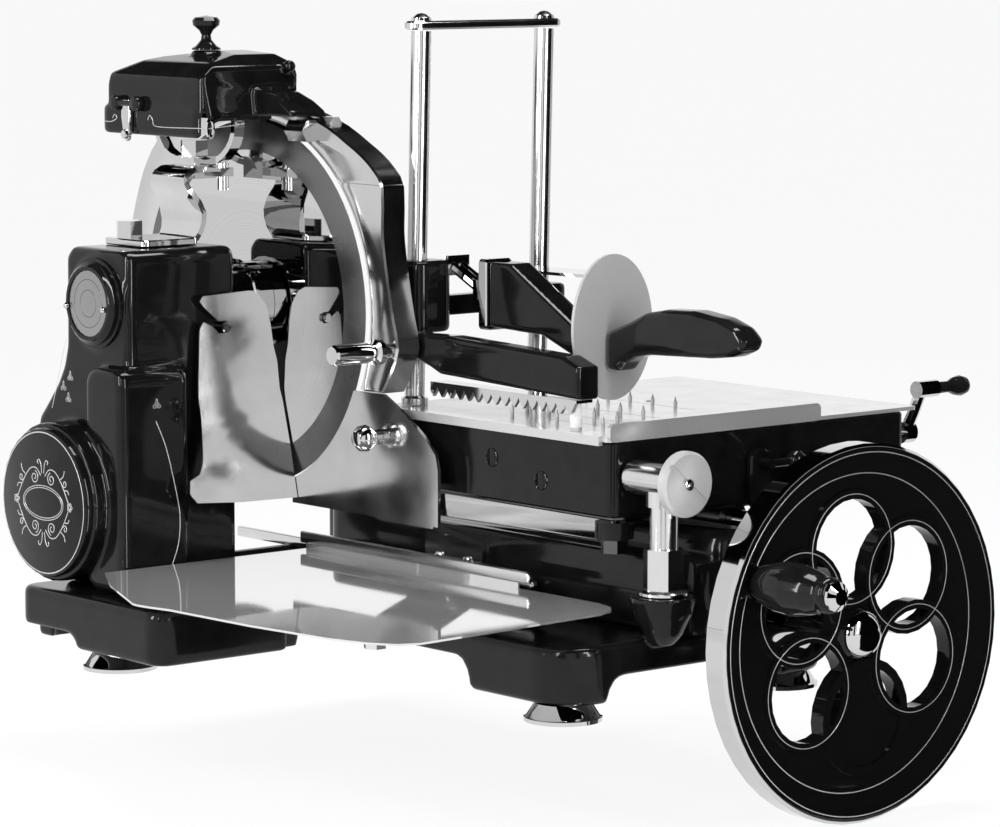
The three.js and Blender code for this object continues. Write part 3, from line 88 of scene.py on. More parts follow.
class Graph:
    """The node tree of one material, filled a node at a time."""

    NOISE_RANGE = (0.3, 0.7)

    def __init__(self, name: str) -> None:
        """Starts an empty material.

        Args:
            name: The material's name.
        """
        self.material = bpy.data.materials.new(name)
        self.material.use_nodes = True
        self.tree = self.material.node_tree
        self.tree.nodes.clear()
        self.out = self.tree.nodes.new("ShaderNodeOutputMaterial")

    def node(self, kind: str, options: dict | None = None, **sockets: object) -> bpy.types.Node:
        """Adds a node and fills its sockets.

        Args:
            kind: The shader node's type without its prefix, such as TexNoise.
            options: Properties of the node itself.
            **sockets: Values or output sockets, by input name with _ for a space, or by an i
                and the input's number.

        Returns:
            The new node.
        """
        made = self.tree.nodes.new("ShaderNode" + kind)
        for key, value in (options or {}).items():
            setattr(made, key, value)
        for key, value in sockets.items():
            numbered = key[0] == "i" and key[1:].isdigit()
            socket = made.inputs[int(key[1:]) if numbered else key.replace("_", " ")]
            if isinstance(value, Socket):
                self.tree.links.new(value, socket)
            else:
                socket.default_value = value
        return made

    def place(self) -> Socket:
        """Returns the object coordinates, which are metres in the part's frame at rest."""
        return self.node("TexCoord").outputs["Object"]

    def noise(self, scale: float, stretch: Point = (1, 1, 1), detail: float = 3.0) -> Socket:
        """Returns noise over the part, by waves in a metre, stretch along each axis and octaves."""
        moved = self.node("Mapping", Vector=self.place(), Scale=stretch).outputs["Vector"]
        return self.node("TexNoise", Vector=moved, Scale=scale, Detail=detail).outputs["Fac"]

    def radius(self, axis: Axis, centre: Point) -> Socket:
        """Adds the distance from an axis.

        Args:
            axis: The axis' direction.
            centre: A point on it in millimetres.

        Returns:
            The distance in metres.
        """
        keep = tuple(0.0 if a is axis else 1.0 for a in Axis)
        middle = tuple(metres(centre))
        away = self.node("VectorMath", {"operation": "SUBTRACT"}, i0=self.place(), i1=middle)
        flat = self.node("VectorMath", {"operation": "MULTIPLY"}, i0=away.outputs[0], i1=keep)
        return self.node("VectorMath", {"operation": "LENGTH"}, i0=flat.outputs[0]).outputs["Value"]

    def ranged(self, value: Socket, low: float, high: float) -> Socket:
        """Spreads the usual values of a noise over a range.

        Args:
            value: The noise.
            low: The result where the noise is at its usual low.
            high: The result where the noise is at its usual high.

        Returns:
            The spread value.
        """
        start, end = self.NOISE_RANGE
        made = self.node("MapRange", {"clamp": True}, Value=value, From_Min=start, From_Max=end,
                         To_Min=low, To_Max=high)
        return made.outputs["Result"]

    def between(self, share: Socket, low: float, high: float) -> Socket:
        """Returns a value that goes from low to high as a share goes from 0 to 1."""
        return self.node("MapRange", Value=share, To_Min=low, To_Max=high).outputs["Result"]

    def joined(self, way: Maths, first: Socket, second: Socket | float) -> Socket:
        """Returns two values put together."""
        return self.node("Math", {"operation": way.value}, i0=first, i1=second).outputs[0]

    def grey(self, tone: Socket) -> Socket:
        """Returns a value as a grey colour."""
        return self.node("CombineColor", Red=tone, Green=tone, Blue=tone).outputs["Color"]

    def bump(self, height: Socket, strength: float, distance: float) -> Socket:
        """Returns the normal over a relief, whose full height is a distance in metres."""
        made = self.node("Bump", Height=height, Strength=strength, Distance=distance)
        return made.outputs["Normal"]

    def principled(self, **sockets: object) -> Material:
        """Ends the material with one Principled shader.

        Args:
            **sockets: Its values or links, by input name with _ for a space.

        Returns:
            The finished material.
        """
        shader = self.node("BsdfPrincipled", **sockets)
        self.tree.links.new(shader.outputs["BSDF"], self.out.inputs["Surface"])
        return self.material


@dataclass(frozen=True)
class Enamel:
    """Deep gloss enamel with a faint orange peel and a few wiped streaks."""

    name: str = "black_enamel"
    colour: float = 0.0035
    gloss: Flat = (0.035, 0.085)
    peel_scale: float = 420.0
    peel_height: float = 0.00003
    peel_strength: float = 0.12
    streak_scale: float = 14.0
    streak: Point = (1, 1, 0.35)
    cloud_scale: float = 60.0
    cloud: float = 1.8
    specular: float = 0.24

    def build(self) -> Material:
        """Returns the material."""
        g = Graph(self.name)
        wiped = g.ranged(g.noise(self.streak_scale, self.streak), *self.gloss)
        peel = g.bump(g.noise(self.peel_scale, detail=1), self.peel_strength, self.peel_height)
        shade = g.ranged(g.noise(self.cloud_scale), self.colour, self.colour * self.cloud)
        return g.principled(Base_Color=g.grey(shade), Roughness=wiped, Normal=peel,
                            Specular_IOR_Level=self.specular)


@dataclass(frozen=True)
class Metal:
    """Bare or plated metal, polished, brushed or blackened."""

    name: str
    colour: float
    roughness: Flat
    grain_scale: float = 300.0
    grain: Point = (1, 1, 1)
    relief: float = 0.00002
    strength: float = 0.2
    smudge_scale: float = 22.0
    cloud_scale: float = 35.0
    cloud: float = 0.93

    def build(self) -> Material:
        """Returns the material."""
        g = Graph(self.name)
        smudge = g.ranged(g.noise(self.smudge_scale), *self.roughness)
        tone = g.ranged(g.noise(self.cloud_scale), self.colour * self.cloud, self.colour)
        grain = g.bump(g.noise(self.grain_scale, self.grain, 2), self.strength, self.relief)
        return g.principled(Base_Color=g.grey(tone), Metallic=1.0, Roughness=smudge, Normal=grain)


@dataclass(frozen=True)
class Band:
    """The finish of one band of a turned node."""

    colour: float
    metallic: float
    roughness: float


@dataclass(frozen=True)
class TwoBands:
    """A turned node with one finish inside an edge, in metres, another outside, and rings."""

    name: str
    axis: Axis
    centre: Point
    edge: float
    inner: Band
    outer: Band
    rings: float
    strength: float
    relief: float = 0.00001
    edge_half: float = 0.0002
    ring_tone: Flat = (0.86, 1.0)
    smudge_scale: float = 18.0
    smudge: Flat = (0.7, 1.3)
    specular: float = 0.3

    def build(self) -> Material:
        """Returns the material."""
        g = Graph(self.name)
        inner, outer = self.inner, self.outer
        radius = g.radius(self.axis, self.centre)
        outside = g.node("MapRange", Value=radius, From_Min=self.edge - self.edge_half,
                         From_Max=self.edge + self.edge_half).outputs["Result"]
        at = g.node("CombineXYZ", X=radius).outputs["Vector"]
        rings = g.node("TexNoise", Vector=at, Scale=self.rings, Detail=3.0).outputs["Fac"]
        tone = g.joined(Maths.MULTIPLY, g.between(outside, inner.colour, outer.colour),
                        g.ranged(rings, *self.ring_tone))
        tint = g.grey(tone)
        rough = g.joined(Maths.MULTIPLY, g.between(outside, inner.roughness, outer.roughness),
                         g.ranged(g.noise(self.smudge_scale), *self.smudge))
        relief = g.bump(rings, self.strength, self.relief)
        metallic = g.between(outside, inner.metallic, outer.metallic)
        return g.principled(Base_Color=tint, Metallic=metallic, Roughness=rough, Normal=relief,
                            Specular_IOR_Level=self.specular)


@dataclass(frozen=True)
class Plain:
    """An even material such as satin sheet, paint, glossy plastic or bonded stone."""

    name: str
    colour: float
    roughness: Flat
    grain_scale: float = 900.0
    relief: float = 0.00004
    strength: float = 0.1
    metallic: float = 0.0
    tone: Flat = (0.85, 1.1)
    smudge_scale: float = 30.0

    def build(self) -> Material:
        """Returns the material."""
        g = Graph(self.name)
        low, high = (self.colour * share for share in self.tone)
        tone = g.ranged(g.noise(self.grain_scale, detail=2), low, high)
        rough = g.ranged(g.noise(self.smudge_scale), *self.roughness)
        grain = g.bump(g.noise(self.grain_scale), self.strength, self.relief)
        return g.principled(Base_Color=g.grey(tone), Metallic=self.metallic, Roughness=rough,
                            Normal=grain)


def built(recipe: Enamel | Metal | TwoBands | Plain) -> Material:
    """Returns a dataclass field whose material is built when the palette is."""
    return field(default_factory=recipe.build)


@dataclass
class Palette:
    """Every finish of the slicer, built once."""

    enamel: Material = built(Enamel())
    cast: Material = built(Enamel(
        "cast_enamel", 0.004, (0.06, 0.16), peel_scale=260, peel_height=0.00006))
    chrome: Material = built(Metal("chrome", 0.64, (0.02, 0.07)))
    brushed: Material = built(Metal(
        "brushed_sheet", 0.86, (0.1, 0.17), grain_scale=120, grain=(30, 1, 1), relief=0.00001,
        strength=0.1))
    guard: Material = built(Metal(
        "guard_steel", 0.62, (0.1, 0.18), grain_scale=150, grain=(1, 1, 12), relief=0.00001,
        strength=0.1))
    column: Material = built(Metal(
        "drawn_chrome", 0.68, (0.14, 0.2), grain_scale=200, grain=(1, 1, 0.05), relief=0.00001,
        strength=0.1))
    table: Material = built(Plain(
        "table_steel", 0.58, (0.16, 0.24), relief=0.000004, metallic=0.6, tone=(0.96, 1.02)))
    tray: Material = built(Plain(
        "tray_sheet", 0.7, (0.03, 0.06), relief=0.000002, metallic=0.78, tone=(0.97, 1.02)))
    satin: Material = built(Plain(
        "satin_sheet", 0.48, (0.32, 0.42), relief=0.000003, metallic=0.35, tone=(0.96, 1.02)))
    blade: Material = built(TwoBands(
        "blade_steel", Axis.Y, BLADE_CENTRE, edge=0.1258, inner=Band(0.64, 1.0, 0.03),
        outer=Band(0.17, 1.0, 0.26), rings=900, strength=0.02))
    wheel: Material = built(TwoBands(
        "wheel_enamel", Axis.X, WHEEL_CENTRE, edge=0.1432, inner=Band(0.004, 0.0, 0.06),
        outer=Band(0.64, 1.0, 0.05), rings=200, strength=0.03))
    machined: Material = built(Metal("machined_steel", 0.42, (0.18, 0.32), grain_scale=400))
    dark: Material = built(Metal("blackened_steel", 0.12, (0.18, 0.3)))
    silver: Material = built(Plain(
        "silver_paint", 0.55, (0.3, 0.45), relief=0.00001, metallic=0.7))
    handle: Material = built(Enamel(
        "black_handle", 0.005, (0.05, 0.12), peel_scale=700, peel_height=0.00002))
    dial: Material = built(Metal("pale_dial", 0.34, (0.2, 0.3), grain_scale=160))
    white: Material = built(Plain(
        "white_roller", 0.78, (0.25, 0.4), grain_scale=240, strength=0.2))
    stone: Material = built(Plain(
        "grinding_stone", 0.4, (0.75, 0.95), grain_scale=1800, relief=0.00025, strength=0.8))


class Shading:
    """Smooth shading across the small facets of the CAD nodes, crisp at their real edges."""

    LIMIT = math.radians(34)
    WELD = 0.00001

    def __init__(self) -> None:
        """Builds the geometry node group that every CAD node shares."""
        tree = bpy.data.node_groups.new("smooth_facets", "GeometryNodeTree")
        for way in ("INPUT", "OUTPUT"):
            tree.interface.new_socket("Geometry", in_out=way, socket_type="NodeSocketGeometry")
        start = tree.nodes.new("NodeGroupInput")
        end = tree.nodes.new("NodeGroupOutput")
        weld = tree.nodes.new("GeometryNodeMergeByDistance")
        weld.inputs["Distance"].default_value = self.WELD
        bare = tree.nodes.new("GeometryNodeRemoveAttribute")
        bare.inputs["Name"].default_value = "custom_normal"
        smooth = tree.nodes.new("GeometryNodeSetShadeSmooth")
        smooth.domain = "FACE"
        crisp = tree.nodes.new("GeometryNodeSetShadeSmooth")
        crisp.domain = "EDGE"
        crisp.inputs["Shade Smooth"].default_value = False
        angle = tree.nodes.new("GeometryNodeInputMeshEdgeAngle")
        wide = tree.nodes.new("FunctionNodeCompare")
        wide.operation = "GREATER_THAN"
        wide.inputs["B"].default_value = self.LIMIT
        tree.links.new(angle.outputs["Unsigned Angle"], wide.inputs["A"])
        tree.links.new(wide.outputs["Result"], crisp.inputs["Selection"])
        chain = [start, weld, bare, smooth, crisp, end]
        for a, b in zip(chain, chain[1:]):
            tree.links.new(a.outputs[0], b.inputs[0])
        self.tree = tree

    def apply(self, node: bpy.types.Object) -> None:
        """Adds the smoothing to a CAD node or a piece."""
        node.modifiers.new("smooth_facets", "NODES").node_group = self.tree


@dataclass(frozen=True)
class Seat:
    """A face of the part: a point on it, the way it faces, and a direction along it."""

    at: Point
    out: Point
    across: Point

    def place(self, u: float, v: float, h: float) -> Vector:
        """Returns a point over the face.

        Args:
            u: Millimetres along the face.
            v: Millimetres along the face, square to u.
            h: Millimetres out of it.

        Returns:
            The point in metres.
        """
        out = Vector(self.out).normalized()
        across = Vector(self.across).normalized()
        return (Vector(self.at) + across * u + out.cross(across) * v + out * h) * MM

    @classmethod
    def front(cls, y: float) -> Seat:
        """Returns a face toward -Y, where u is X and v is Z."""
        return cls((0, y, 0), (0, -1, 0), (1, 0, 0))

    @classmethod
    def right(cls, x: float) -> Seat:
        """Returns a face toward +X, where u is Y and v is Z."""
        return cls((x, 0, 0), (1, 0, 0), (0, 1, 0))

    @classmethod
    def top(cls, z: float) -> Seat:
        """Returns a face toward +Z, where u is X and v is Y."""
        return cls((0, 0, z), (0, 0, 1), (1, 0, 0))


def flowing(points: Line, steps: int = 5) -> list[Flat]:
    """Returns a smooth path through points.

    Args:
        points: The points, in order.
        steps: Parts between two of them.

    Returns:
        The path.
    """
    ends = [points[0], *points, points[-1]]
    path = []
    for near in zip(ends, ends[1:], ends[2:], ends[3:]):
        for k in range(steps):
            t = k / steps
            path.append(tuple(
                0.5 * (2 * q + (r - p) * t + (2 * p - 5 * q + 4 * r - s) * t * t
                       + (3 * q - p - 3 * r + s) * t ** 3)
                for p, q, r, s in zip(*near)))
    return [*path, points[-1]]


def arc(centre: Flat, radius: float, start: float = 0, end: float = 360, steps: int = 72,
        last: float = 0) -> list[Flat]:
    """Returns an arc or, with a last radius, a spiral.

    Args:
        centre: Its centre.
        radius: Its first radius.
        start: First angle in degrees.
        end: Last angle in degrees.
        steps: Parts.
        last: Its last radius, or 0 for an arc.

    Returns:
        The path.
    """
    path = []
    for k in range(steps + 1):
        turn = math.radians(start + (end - start) * k / steps)
        reach = radius + ((last or radius) - radius) * k / steps
        path.append((centre[0] + reach * math.cos(turn), centre[1] + reach * math.sin(turn)))
    return path


def oval(centre: Flat, wide: float, high: float, steps: int = 72) -> list[Flat]:
    """Returns an oval of a half width and a half height, in as many steps."""
    return [(centre[0] + a * wide, centre[1] + b * high) for a, b in arc((0, 0), 1.0, steps=steps)]


@dataclass(frozen=True)
class Screw:
    """A domed screw head with a straight slot. The dome is in shares of its radius and height."""

    radius: float
    height: float
    turn: float
    slot: float = 0.11
    sides: int = 14
    dome: Line = ((1.0, 0.25), (0.97, 0.6), (0.8, 0.85), (0.45, 1.0), (0.18, 1.0))


class Shape:
    """A mesh that is made row by row, from sizes in millimetres."""

    TIP_RADIUS = 0.02
    CLOSED_GAP = 0.01
    SLAB_SHOULDER = 0.3
    PAINT_SHOULDER = 0.6

    def __init__(self) -> None:
        """Starts an empty mesh."""
        self.mesh = bmesh.new()

    def skin(self, rows: list[list[Vector]], loop: bool = False) -> None:
        """Joins closed rows of points with faces and closes both ends.

        Args:
            rows: Rows of as many points each.
            loop: Whether the last row joins the first, with no ends.
        """
        made = [[self.mesh.verts.new(p) for p in row] for row in rows]
        pairs = list(zip(made, made[1:])) + ([(made[-1], made[0])] if loop else [])
        for a, b in pairs:
            for i in range(len(a)):
                j = (i + 1) % len(a)
                self.mesh.faces.new((a[i], a[j], b[j], b[i]))
        if not loop:
            self.mesh.faces.new(made[0])
            self.mesh.faces.new(made[-1])

    def turned(self, seat: Seat, profile: Line, *places: Flat, steps: int = 32) -> None:
        """Adds turned forms.

        Args:
            seat: The face they stand on.
            profile: Radii and heights, from a foot to its top.
            *places: Their places along the face.
            steps: Sides.
        """
        for at in places:
            rows = []
            for radius, height in profile:
                ring = arc(at, max(radius, self.TIP_RADIUS), steps=steps)[:-1]
                rows.append([seat.place(a, b, height) for a, b in ring])
            self.skin(rows)

    def slotted(self, seat: Seat, screw: Screw, at: Flat) -> None:
        """Adds a screw head.

        Args:
            seat: The face it is sunk in.
            screw: Its sizes.
            at: Its place along the face.
        """
        radius = screw.radius
        (_, floor), (neck, _) = screw.dome[:2]
        base = ((radius, LIFT), (radius * neck, screw.height * floor))
        self.turned(seat, base, at)
        half = radius * screw.slot
        for side in (0, 180):
            rows = []
            for share, level in screw.dome:
                reach = radius * share
                cut = math.degrees(math.asin(min(1.0, half / reach)))
                first = screw.turn + side
                ring = arc((0, 0), reach, first + cut, first + 180 - cut, screw.sides)
                rows.append([seat.place(at[0] + a, at[1] + b, level * screw.height)
                             for a, b in ring])
            self.skin(rows)

    def slab(self, seat: Seat, outline: Line, low: float, high: float, ease: float) -> None:
        """Adds a plate with eased edges.

        Args:
            seat: The face it lies on.
            outline: Its outline, anticlockwise.
            low: Height of its underside.
            high: Height of its top.
            ease: Width of its edge's rounding.
        """
        inner = []
        for i, (a, b) in enumerate(outline):
            back = Vector(outline[i - 1])
            on = Vector(outline[(i + 1) % len(outline)])
            way = (on - back).normalized()
            inner.append((a - way.y * ease, b + way.x * ease))
        middle = [((a + c) / 2, (b + d) / 2) for (a, b), (c, d) in zip(outline, inner)]
        levels = ((outline, low), (outline, high - ease),
                  (middle, high - ease * self.SLAB_SHOULDER), (inner, high))
        self.skin([[seat.place(a, b, level) for a, b in ring] for ring, level in levels])

    def ribbon(self, seat: Seat, path: list[Flat], width: float, height: float = 0.12) -> None:
        """Adds a thin raised line.

        Args:
            seat: The face it lies on.
            path: Its middle line. It closes where it ends at its start.
            width: Its width.
            height: Height of its top.
        """
        loop = math.dist(path[0], path[-1]) < self.CLOSED_GAP
        path = path[:-1] if loop else path
        count = len(path)
        rows = []
        for i, (a, b) in enumerate(path):
            back = path[i - 1] if loop or i else path[i]
            on = path[(i + 1) % count] if loop or i < count - 1 else path[i]
            way = (Vector(on) - Vector(back)).normalized()
            across = Vector((-way.y, way.x)) * width / 2
            near = self.PAINT_SHOULDER
            rows.append([
                seat.place(a - across.x, b - across.y, LIFT),
                seat.place(a - across.x * near, b - across.y * near, height),
                seat.place(a + across.x * near, b + across.y * near, height),
                seat.place(a + across.x, b + across.y, LIFT),
            ])
        self.skin(rows, loop)


@dataclass
class Workshop:
    """Finishes the shapes into pieces that ride on the CAD bodies."""

    paint: Palette
    shading: Shading

    def add(self, name: str, shape: Shape, material: Material, body: str, slot: str) -> None:
        """Adds one piece.

        Args:
            name: Its name.
            shape: Its mesh.
            material: Its finish.
            body: The body it rides on.
            slot: The record's slot that its finish belongs to. It is not used.
        """
        bmesh.ops.recalc_face_normals(shape.mesh, faces=shape.mesh.faces)
        data = bpy.data.meshes.new(name)
        shape.mesh.to_mesh(data)
        shape.mesh.free()
        data.materials.append(material)
        piece = bpy.data.objects.new(name, data)
        bpy.context.scene.collection.objects.link(piece)
        self.shading.apply(piece)
        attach(piece, body)
        LOG.info("%s: %d faces on %s", name, len(data.polygons), body)


@dataclass(frozen=True)
class Volute:
    """A painted spiral that winds inward."""

    centre: Flat
    radius: float
    start: float
    end: float
    steps: int
    last: float

    def path(self) -> list[Flat]:
        """Returns its line."""
        return arc(self.centre, self.radius, self.start, self.end, self.steps, self.last)


@dataclass
class CoverOrnament:
    """Painted ring and mirrored scrollwork on the round cover, with its middle left bare."""

    face: Seat = Seat.front(-186.3)
    centre: Flat = (-36, 128)
    ring: float = 57.5
    ring_line: float = 1.0
    ovals: Line = ((28.5, 14), (26.5, 12.2))
    oval_line: float = 0.7
    stem: Line = ((3, 22), (9, 27.5), (17, 27), (24, 21), (30, 13), (36, 3))
    leaf: Line = ((24, 21), (29, 24), (31, 29))
    finial: Line = ((1.5, 24), (2.5, 31), (5, 35), (7.5, 33.5), (6.5, 31.5))
    hook: Line = ((30, 13), (35, 13), (37, 10))
    volutes: tuple[Volute, ...] = (
        Volute(centre=(12, 20), radius=5.5, start=100, end=640, steps=40, last=1.2),
        Volute(centre=(31, 18.5), radius=3.2, start=200, end=620, steps=26, last=0.8),
    )
    scroll_line: float = 0.85
    petals: int = 5
    flower_place: float = 38
    petal_place: float = 2.4
    petal_radius: float = 1.1
    petal_line: float = 0.8

    def build(self, shop: Workshop) -> None:
        """Adds the ornament.

        Args:
            shop: Makes the piece.
        """
        u, v = self.centre
        shape = Shape()
        shape.ribbon(self.face, arc(self.centre, self.ring, steps=120), self.ring_line)
        for wide, high in self.ovals:
            shape.ribbon(self.face, oval(self.centre, wide, high), self.oval_line)
        quarter = [flowing(line) for line in (self.stem, self.leaf, self.finial, self.hook)]
        quarter += [volute.path() for volute in self.volutes]
        for side in (1, -1):
            for half in (1, -1):
                for line in quarter:
                    path = [(u + side * a, v + half * b) for a, b in line]
                    shape.ribbon(self.face, path, self.scroll_line)
            for k in range(self.petals):
                turn = math.radians(360 / self.petals * k)
                spot = (u + side * self.flower_place + self.petal_place * math.cos(turn),
                        v + self.petal_place * math.sin(turn))
                shape.ribbon(self.face, arc(spot, self.petal_radius, steps=12), self.petal_line)
        shop.add("round_cover_ornament", shape, shop.paint.silver, "frame", "dial_white")


@dataclass
class HousingStripes:
    """Painted lines and small scrolls on the housing and the gear case. The gear case's bulge line
    is partly a pinstripe and partly a painted highlight along the bulge's outline.
    """

    front: Seat = Seat.front(-150)
    side: Seat = Seat.right(46)
    line: float = 0.8
    flare: Line = ((-53, 257), (-58, 245), (-66, 222), (-75, 199))
    # partly a pinstripe, partly a painted highlight along the gear case's bulge
    bulge_stripe_and_highlight: Line = ((-132, 198), (-123, 178), (-117, 157), (-111, 132), (-109, 116), (-111, 96),
                   (-118, 78))
    front_scrolls: Line = ((-48, 226), (-58, 217), (-51, 208))
    side_scroll: Flat = (-131, 210)
    scroll: float = 4.5
    scroll_line: float = 0.6
    spiral: Flat = (0.5, 0.12)  # first and last radius, as shares of a scroll
    spiral_turn: Flat = (90, 560)
    spiral_place: float = 0.52
    bud: Line = ((0, 0.5), (0.2, 0.85), (0, 1.3), (-0.2, 0.85), (0, 0.5))

    def add_scroll(self, shape: Shape, seat: Seat, at: Flat) -> None:
        """Adds two facing spirals and a bud.

        Args:
            shape: The mesh that takes them.
            seat: The face.
            at: Their middle.
        """
        size = self.scroll
        first, last = (size * share for share in self.spiral)
        spiral = arc((0, 0), first, *self.spiral_turn, 30, last)
        for side in (1, -1):
            path = [(at[0] + side * (size * self.spiral_place + a), at[1] + b) for a, b in spiral]
            shape.ribbon(seat, path, self.scroll_line)
        bud = [(at[0] + a * size, at[1] + b * size) for a, b in flowing(self.bud, 4)]
        shape.ribbon(seat, bud, self.scroll_line)

    def build(self, shop: Workshop) -> None:
        """Adds the stripes. The bulge line on the gear case is partly a pinstripe and partly a
        painted highlight.

        Args:
            shop: Makes the pieces.
        """
        shape = Shape()
        shape.ribbon(self.front, flowing(self.flare), self.line)
        for spot in self.front_scrolls:
            self.add_scroll(shape, self.front, spot)
        shop.add("housing_stripes", shape, shop.paint.silver, "frame", "dial_white")
        shape = Shape()
        # the bulge line is partly a pinstripe and partly a painted highlight along the gear case's
        # bulge
        shape.ribbon(self.side, flowing(self.bulge_stripe_and_highlight), self.line)
        self.add_scroll(shape, self.side, self.side_scroll)
        shop.add("gear_case_stripes_and_highlight", shape, shop.paint.silver, "frame", "dial_white")


@dataclass
class SharpenerTrim:
    """The sharpener cover's painted line, side lever with two dark knobs, and leg ring."""

    face: Seat = Seat.front(-76)
    side: Seat = Seat.right(37)
    line: float = 0.7
    front_lines: tuple[Line, ...] = (
        ((-101, 431), (-92, 431), (-84, 434), (-87, 437), (-90, 434)),
        ((-40, 434), (-37, 438), (-33, 434), (-31, 430), (-16, 429), (34, 430)),
    )
    side_line: Line = ((-75, 429.5), (-66, 430), (-40, 432))
    knobs: Line = ((-80.5, 447), (-51.0, 447))
    knob: Line = ((5.8, 0.3), (6.2, 1.2), (6.2, 5.2), (5.4, 6.4), (3.0, 7.0), (0, 7.2))
    spindle_seat: Seat = Seat((-76, -79.5, 447), (1, 0, 0), (0, 1, 0))
    spindle: Line = ((2.4, 0), (2.4, 21))
    lever: Line = (
        (-71.5, 450), (-72, 436), (-69.5, 424), (-68, 418), (-65.5, 416), (-62.5, 417.5),
        (-61, 424), (-60, 436), (-60.5, 450))
    lever_heights: Flat = (1.0, 4.4)
    lever_ease: float = 0.8
    pivot_place: Flat = (-65.5, 421.5)
    pivot: Line = ((4.2, 4.0), (4.2, 5.6), (3.4, 6.6), (0, 7.0))
    ring_place: Flat = (-69.5, 429.5)
    ring: Flat = (3.2, 7.5)
    ring_line: Flat = (2.2, 1.6)

    def build(self, shop: Workshop) -> None:
        """Adds the pieces.

        Args:
            shop: Makes them.
        """
        shape = Shape()
        for line in self.front_lines:
            shape.ribbon(self.face, flowing(line), self.line)
        shape.ribbon(self.side, flowing(self.side_line), self.line)
        shop.add("sharpener_cover_stripes", shape, shop.paint.silver, "sharpener_cover",
                 "dial_white")
        shape = Shape()
        shape.turned(self.face, self.knob, *self.knobs)
        shape.turned(self.spindle_seat, self.spindle, (0, 0), steps=20)
        shop.add("cover_spool", shape, shop.paint.handle, "sharpener_cover", "black_handle")
        shape = Shape()
        shape.slab(self.face, self.lever, *self.lever_heights, self.lever_ease)
        shape.turned(self.face, self.pivot, self.pivot_place, steps=24)
        shop.add("cover_lever", shape, shop.paint.chrome, "sharpener_cover", "chrome")
        shape = Shape()
        shape.ribbon(self.side, oval(self.ring_place, *self.ring, 40), *self.ring_line)
        shop.add("cover_leg_ring", shape, shop.paint.chrome, "sharpener_cover", "chrome")


@dataclass
class WheelLines:
    """Fine painted circles on the flywheel's rim, web and ring ribs."""

    middle: Flat = WHEEL_CENTRE[1:]
    circles: Line = ((559, 139.2), (551, 122.4))  # place along X, radius
    circle_line: float = 0.8
    lobes: int = 6
    bare_lobe: int = 3
    first_lobe: float = 97
    lobe_place: float = 66
    lobe_radius: float = 42
    lobe_line: float = 0.7
    lobe_height: float = 0.1
    lobe_step: float = 0.02
    rib_top: float = 553

    def build(self, shop: Workshop) -> None:
        """Adds the lines, each lobe's a little higher than the last, because they cross.

        Args:
            shop: Makes the piece.
        """
        shape = Shape()
        for x, radius in self.circles:
            shape.ribbon(Seat.right(x), arc(self.middle, radius, steps=144), self.circle_line)
        for lobe in range(self.lobes):
            if lobe == self.bare_lobe:
                continue
            turn = math.radians(self.first_lobe + 360 / self.lobes * lobe)
            spot = (self.middle[0] + self.lobe_place * math.cos(turn),
                    self.middle[1] + self.lobe_place * math.sin(turn))
            path = arc(spot, self.lobe_radius, steps=80)
            height = self.lobe_height + self.lobe_step * lobe
            shape.ribbon(Seat.right(self.rib_top), path, self.lobe_line, height)
        shop.add("flywheel_lines", shape, shop.paint.silver, "flywheel", "dial_white")


@dataclass
class GuardFoot:
    """The foot plate of the blade's guard and the four screws that hold it to the bed."""

    face: Seat = Seat.front(46.7)
    plate: Line = ((174, 59), (234, 59), (238, 62), (239, 88.7), (169, 88.7), (171, 62))
    plate_thick: float = 2.8
    plate_ease: float = 0.4
    screws: Line = ((187, 87), (222, 87), (187, 66), (222, 66))
    screw: Screw = Screw(radius=4.6, height=2.6, turn=30)

    def build(self, shop: Workshop) -> None:
        """Adds the plate and the screws.

        Args:
            shop: Makes the pieces.
        """
        shape = Shape()
        shape.slab(self.face, self.plate, -self.plate_thick, 0.0, self.plate_ease)
        shop.add("guard_foot_plate", shape, shop.paint.guard, "frame", "chrome")
        shape = Shape()
        for spot in self.screws:
            shape.slotted(self.face, self.screw, spot)
        shop.add("flange_screws", shape, shop.paint.chrome, "frame", "chrome")


@dataclass
class TableTrim:
    """Plugs in the table's body, and the screws and grooves of its sheet."""

    body_face: Seat = Seat.front(12)
    sheet_face: Seat = Seat.top(209)
    plugs: Line = ((293, 181), (352, 169))
    plug: Line = ((7.6, LIFT), (7.4, 0.7), (6.6, 1.1), (0, 1.3))
    screws: Line = ((268, 201), (390, 238))
    screw: Screw = Screw(radius=3.6, height=0.7, turn=40)
    grooves: Line = ((338, 186), (360, 128), (372, 89), (388, 59))  # right ends
    groove: float = 108
    groove_line: Flat = (1.1, 0.06)

    def build(self, shop: Workshop) -> None:
        """Adds the plugs, the screws and the grooves.

        Args:
            shop: Makes the pieces.
        """
        shape = Shape()
        shape.turned(self.body_face, self.plug, *self.plugs)
        shop.add("table_body_plugs", shape, shop.paint.enamel, "table", "black_enamel")
        shape = Shape()
        for spot in self.screws:
            shape.slotted(self.sheet_face, self.screw, spot)
        shop.add("table_screws", shape, shop.paint.chrome, "table", "chrome")
        shape = Shape()
        for end, v in self.grooves:
            shape.ribbon(self.sheet_face, [(end - self.groove, v), (end, v)], *self.groove_line)
        shop.add("table_grooves", shape, shop.paint.dark, "table", "dark_steel")


@dataclass
class RegulatorScrew:
    """The screw in the middle of the regulator's dial."""

    face: Seat = Seat.right(498)
    place: Flat = (32, 179)
    screw: Screw = Screw(radius=4.5, height=1.6, turn=70)

    def build(self, shop: Workshop) -> None:
        """Adds the screw.

        Args:
            shop: Makes the piece.
        """
        shape = Shape()
        shape.slotted(self.face, self.screw, self.place)
        shop.add("regulator_screw", shape, shop.paint.chrome, "regulator", "chrome")


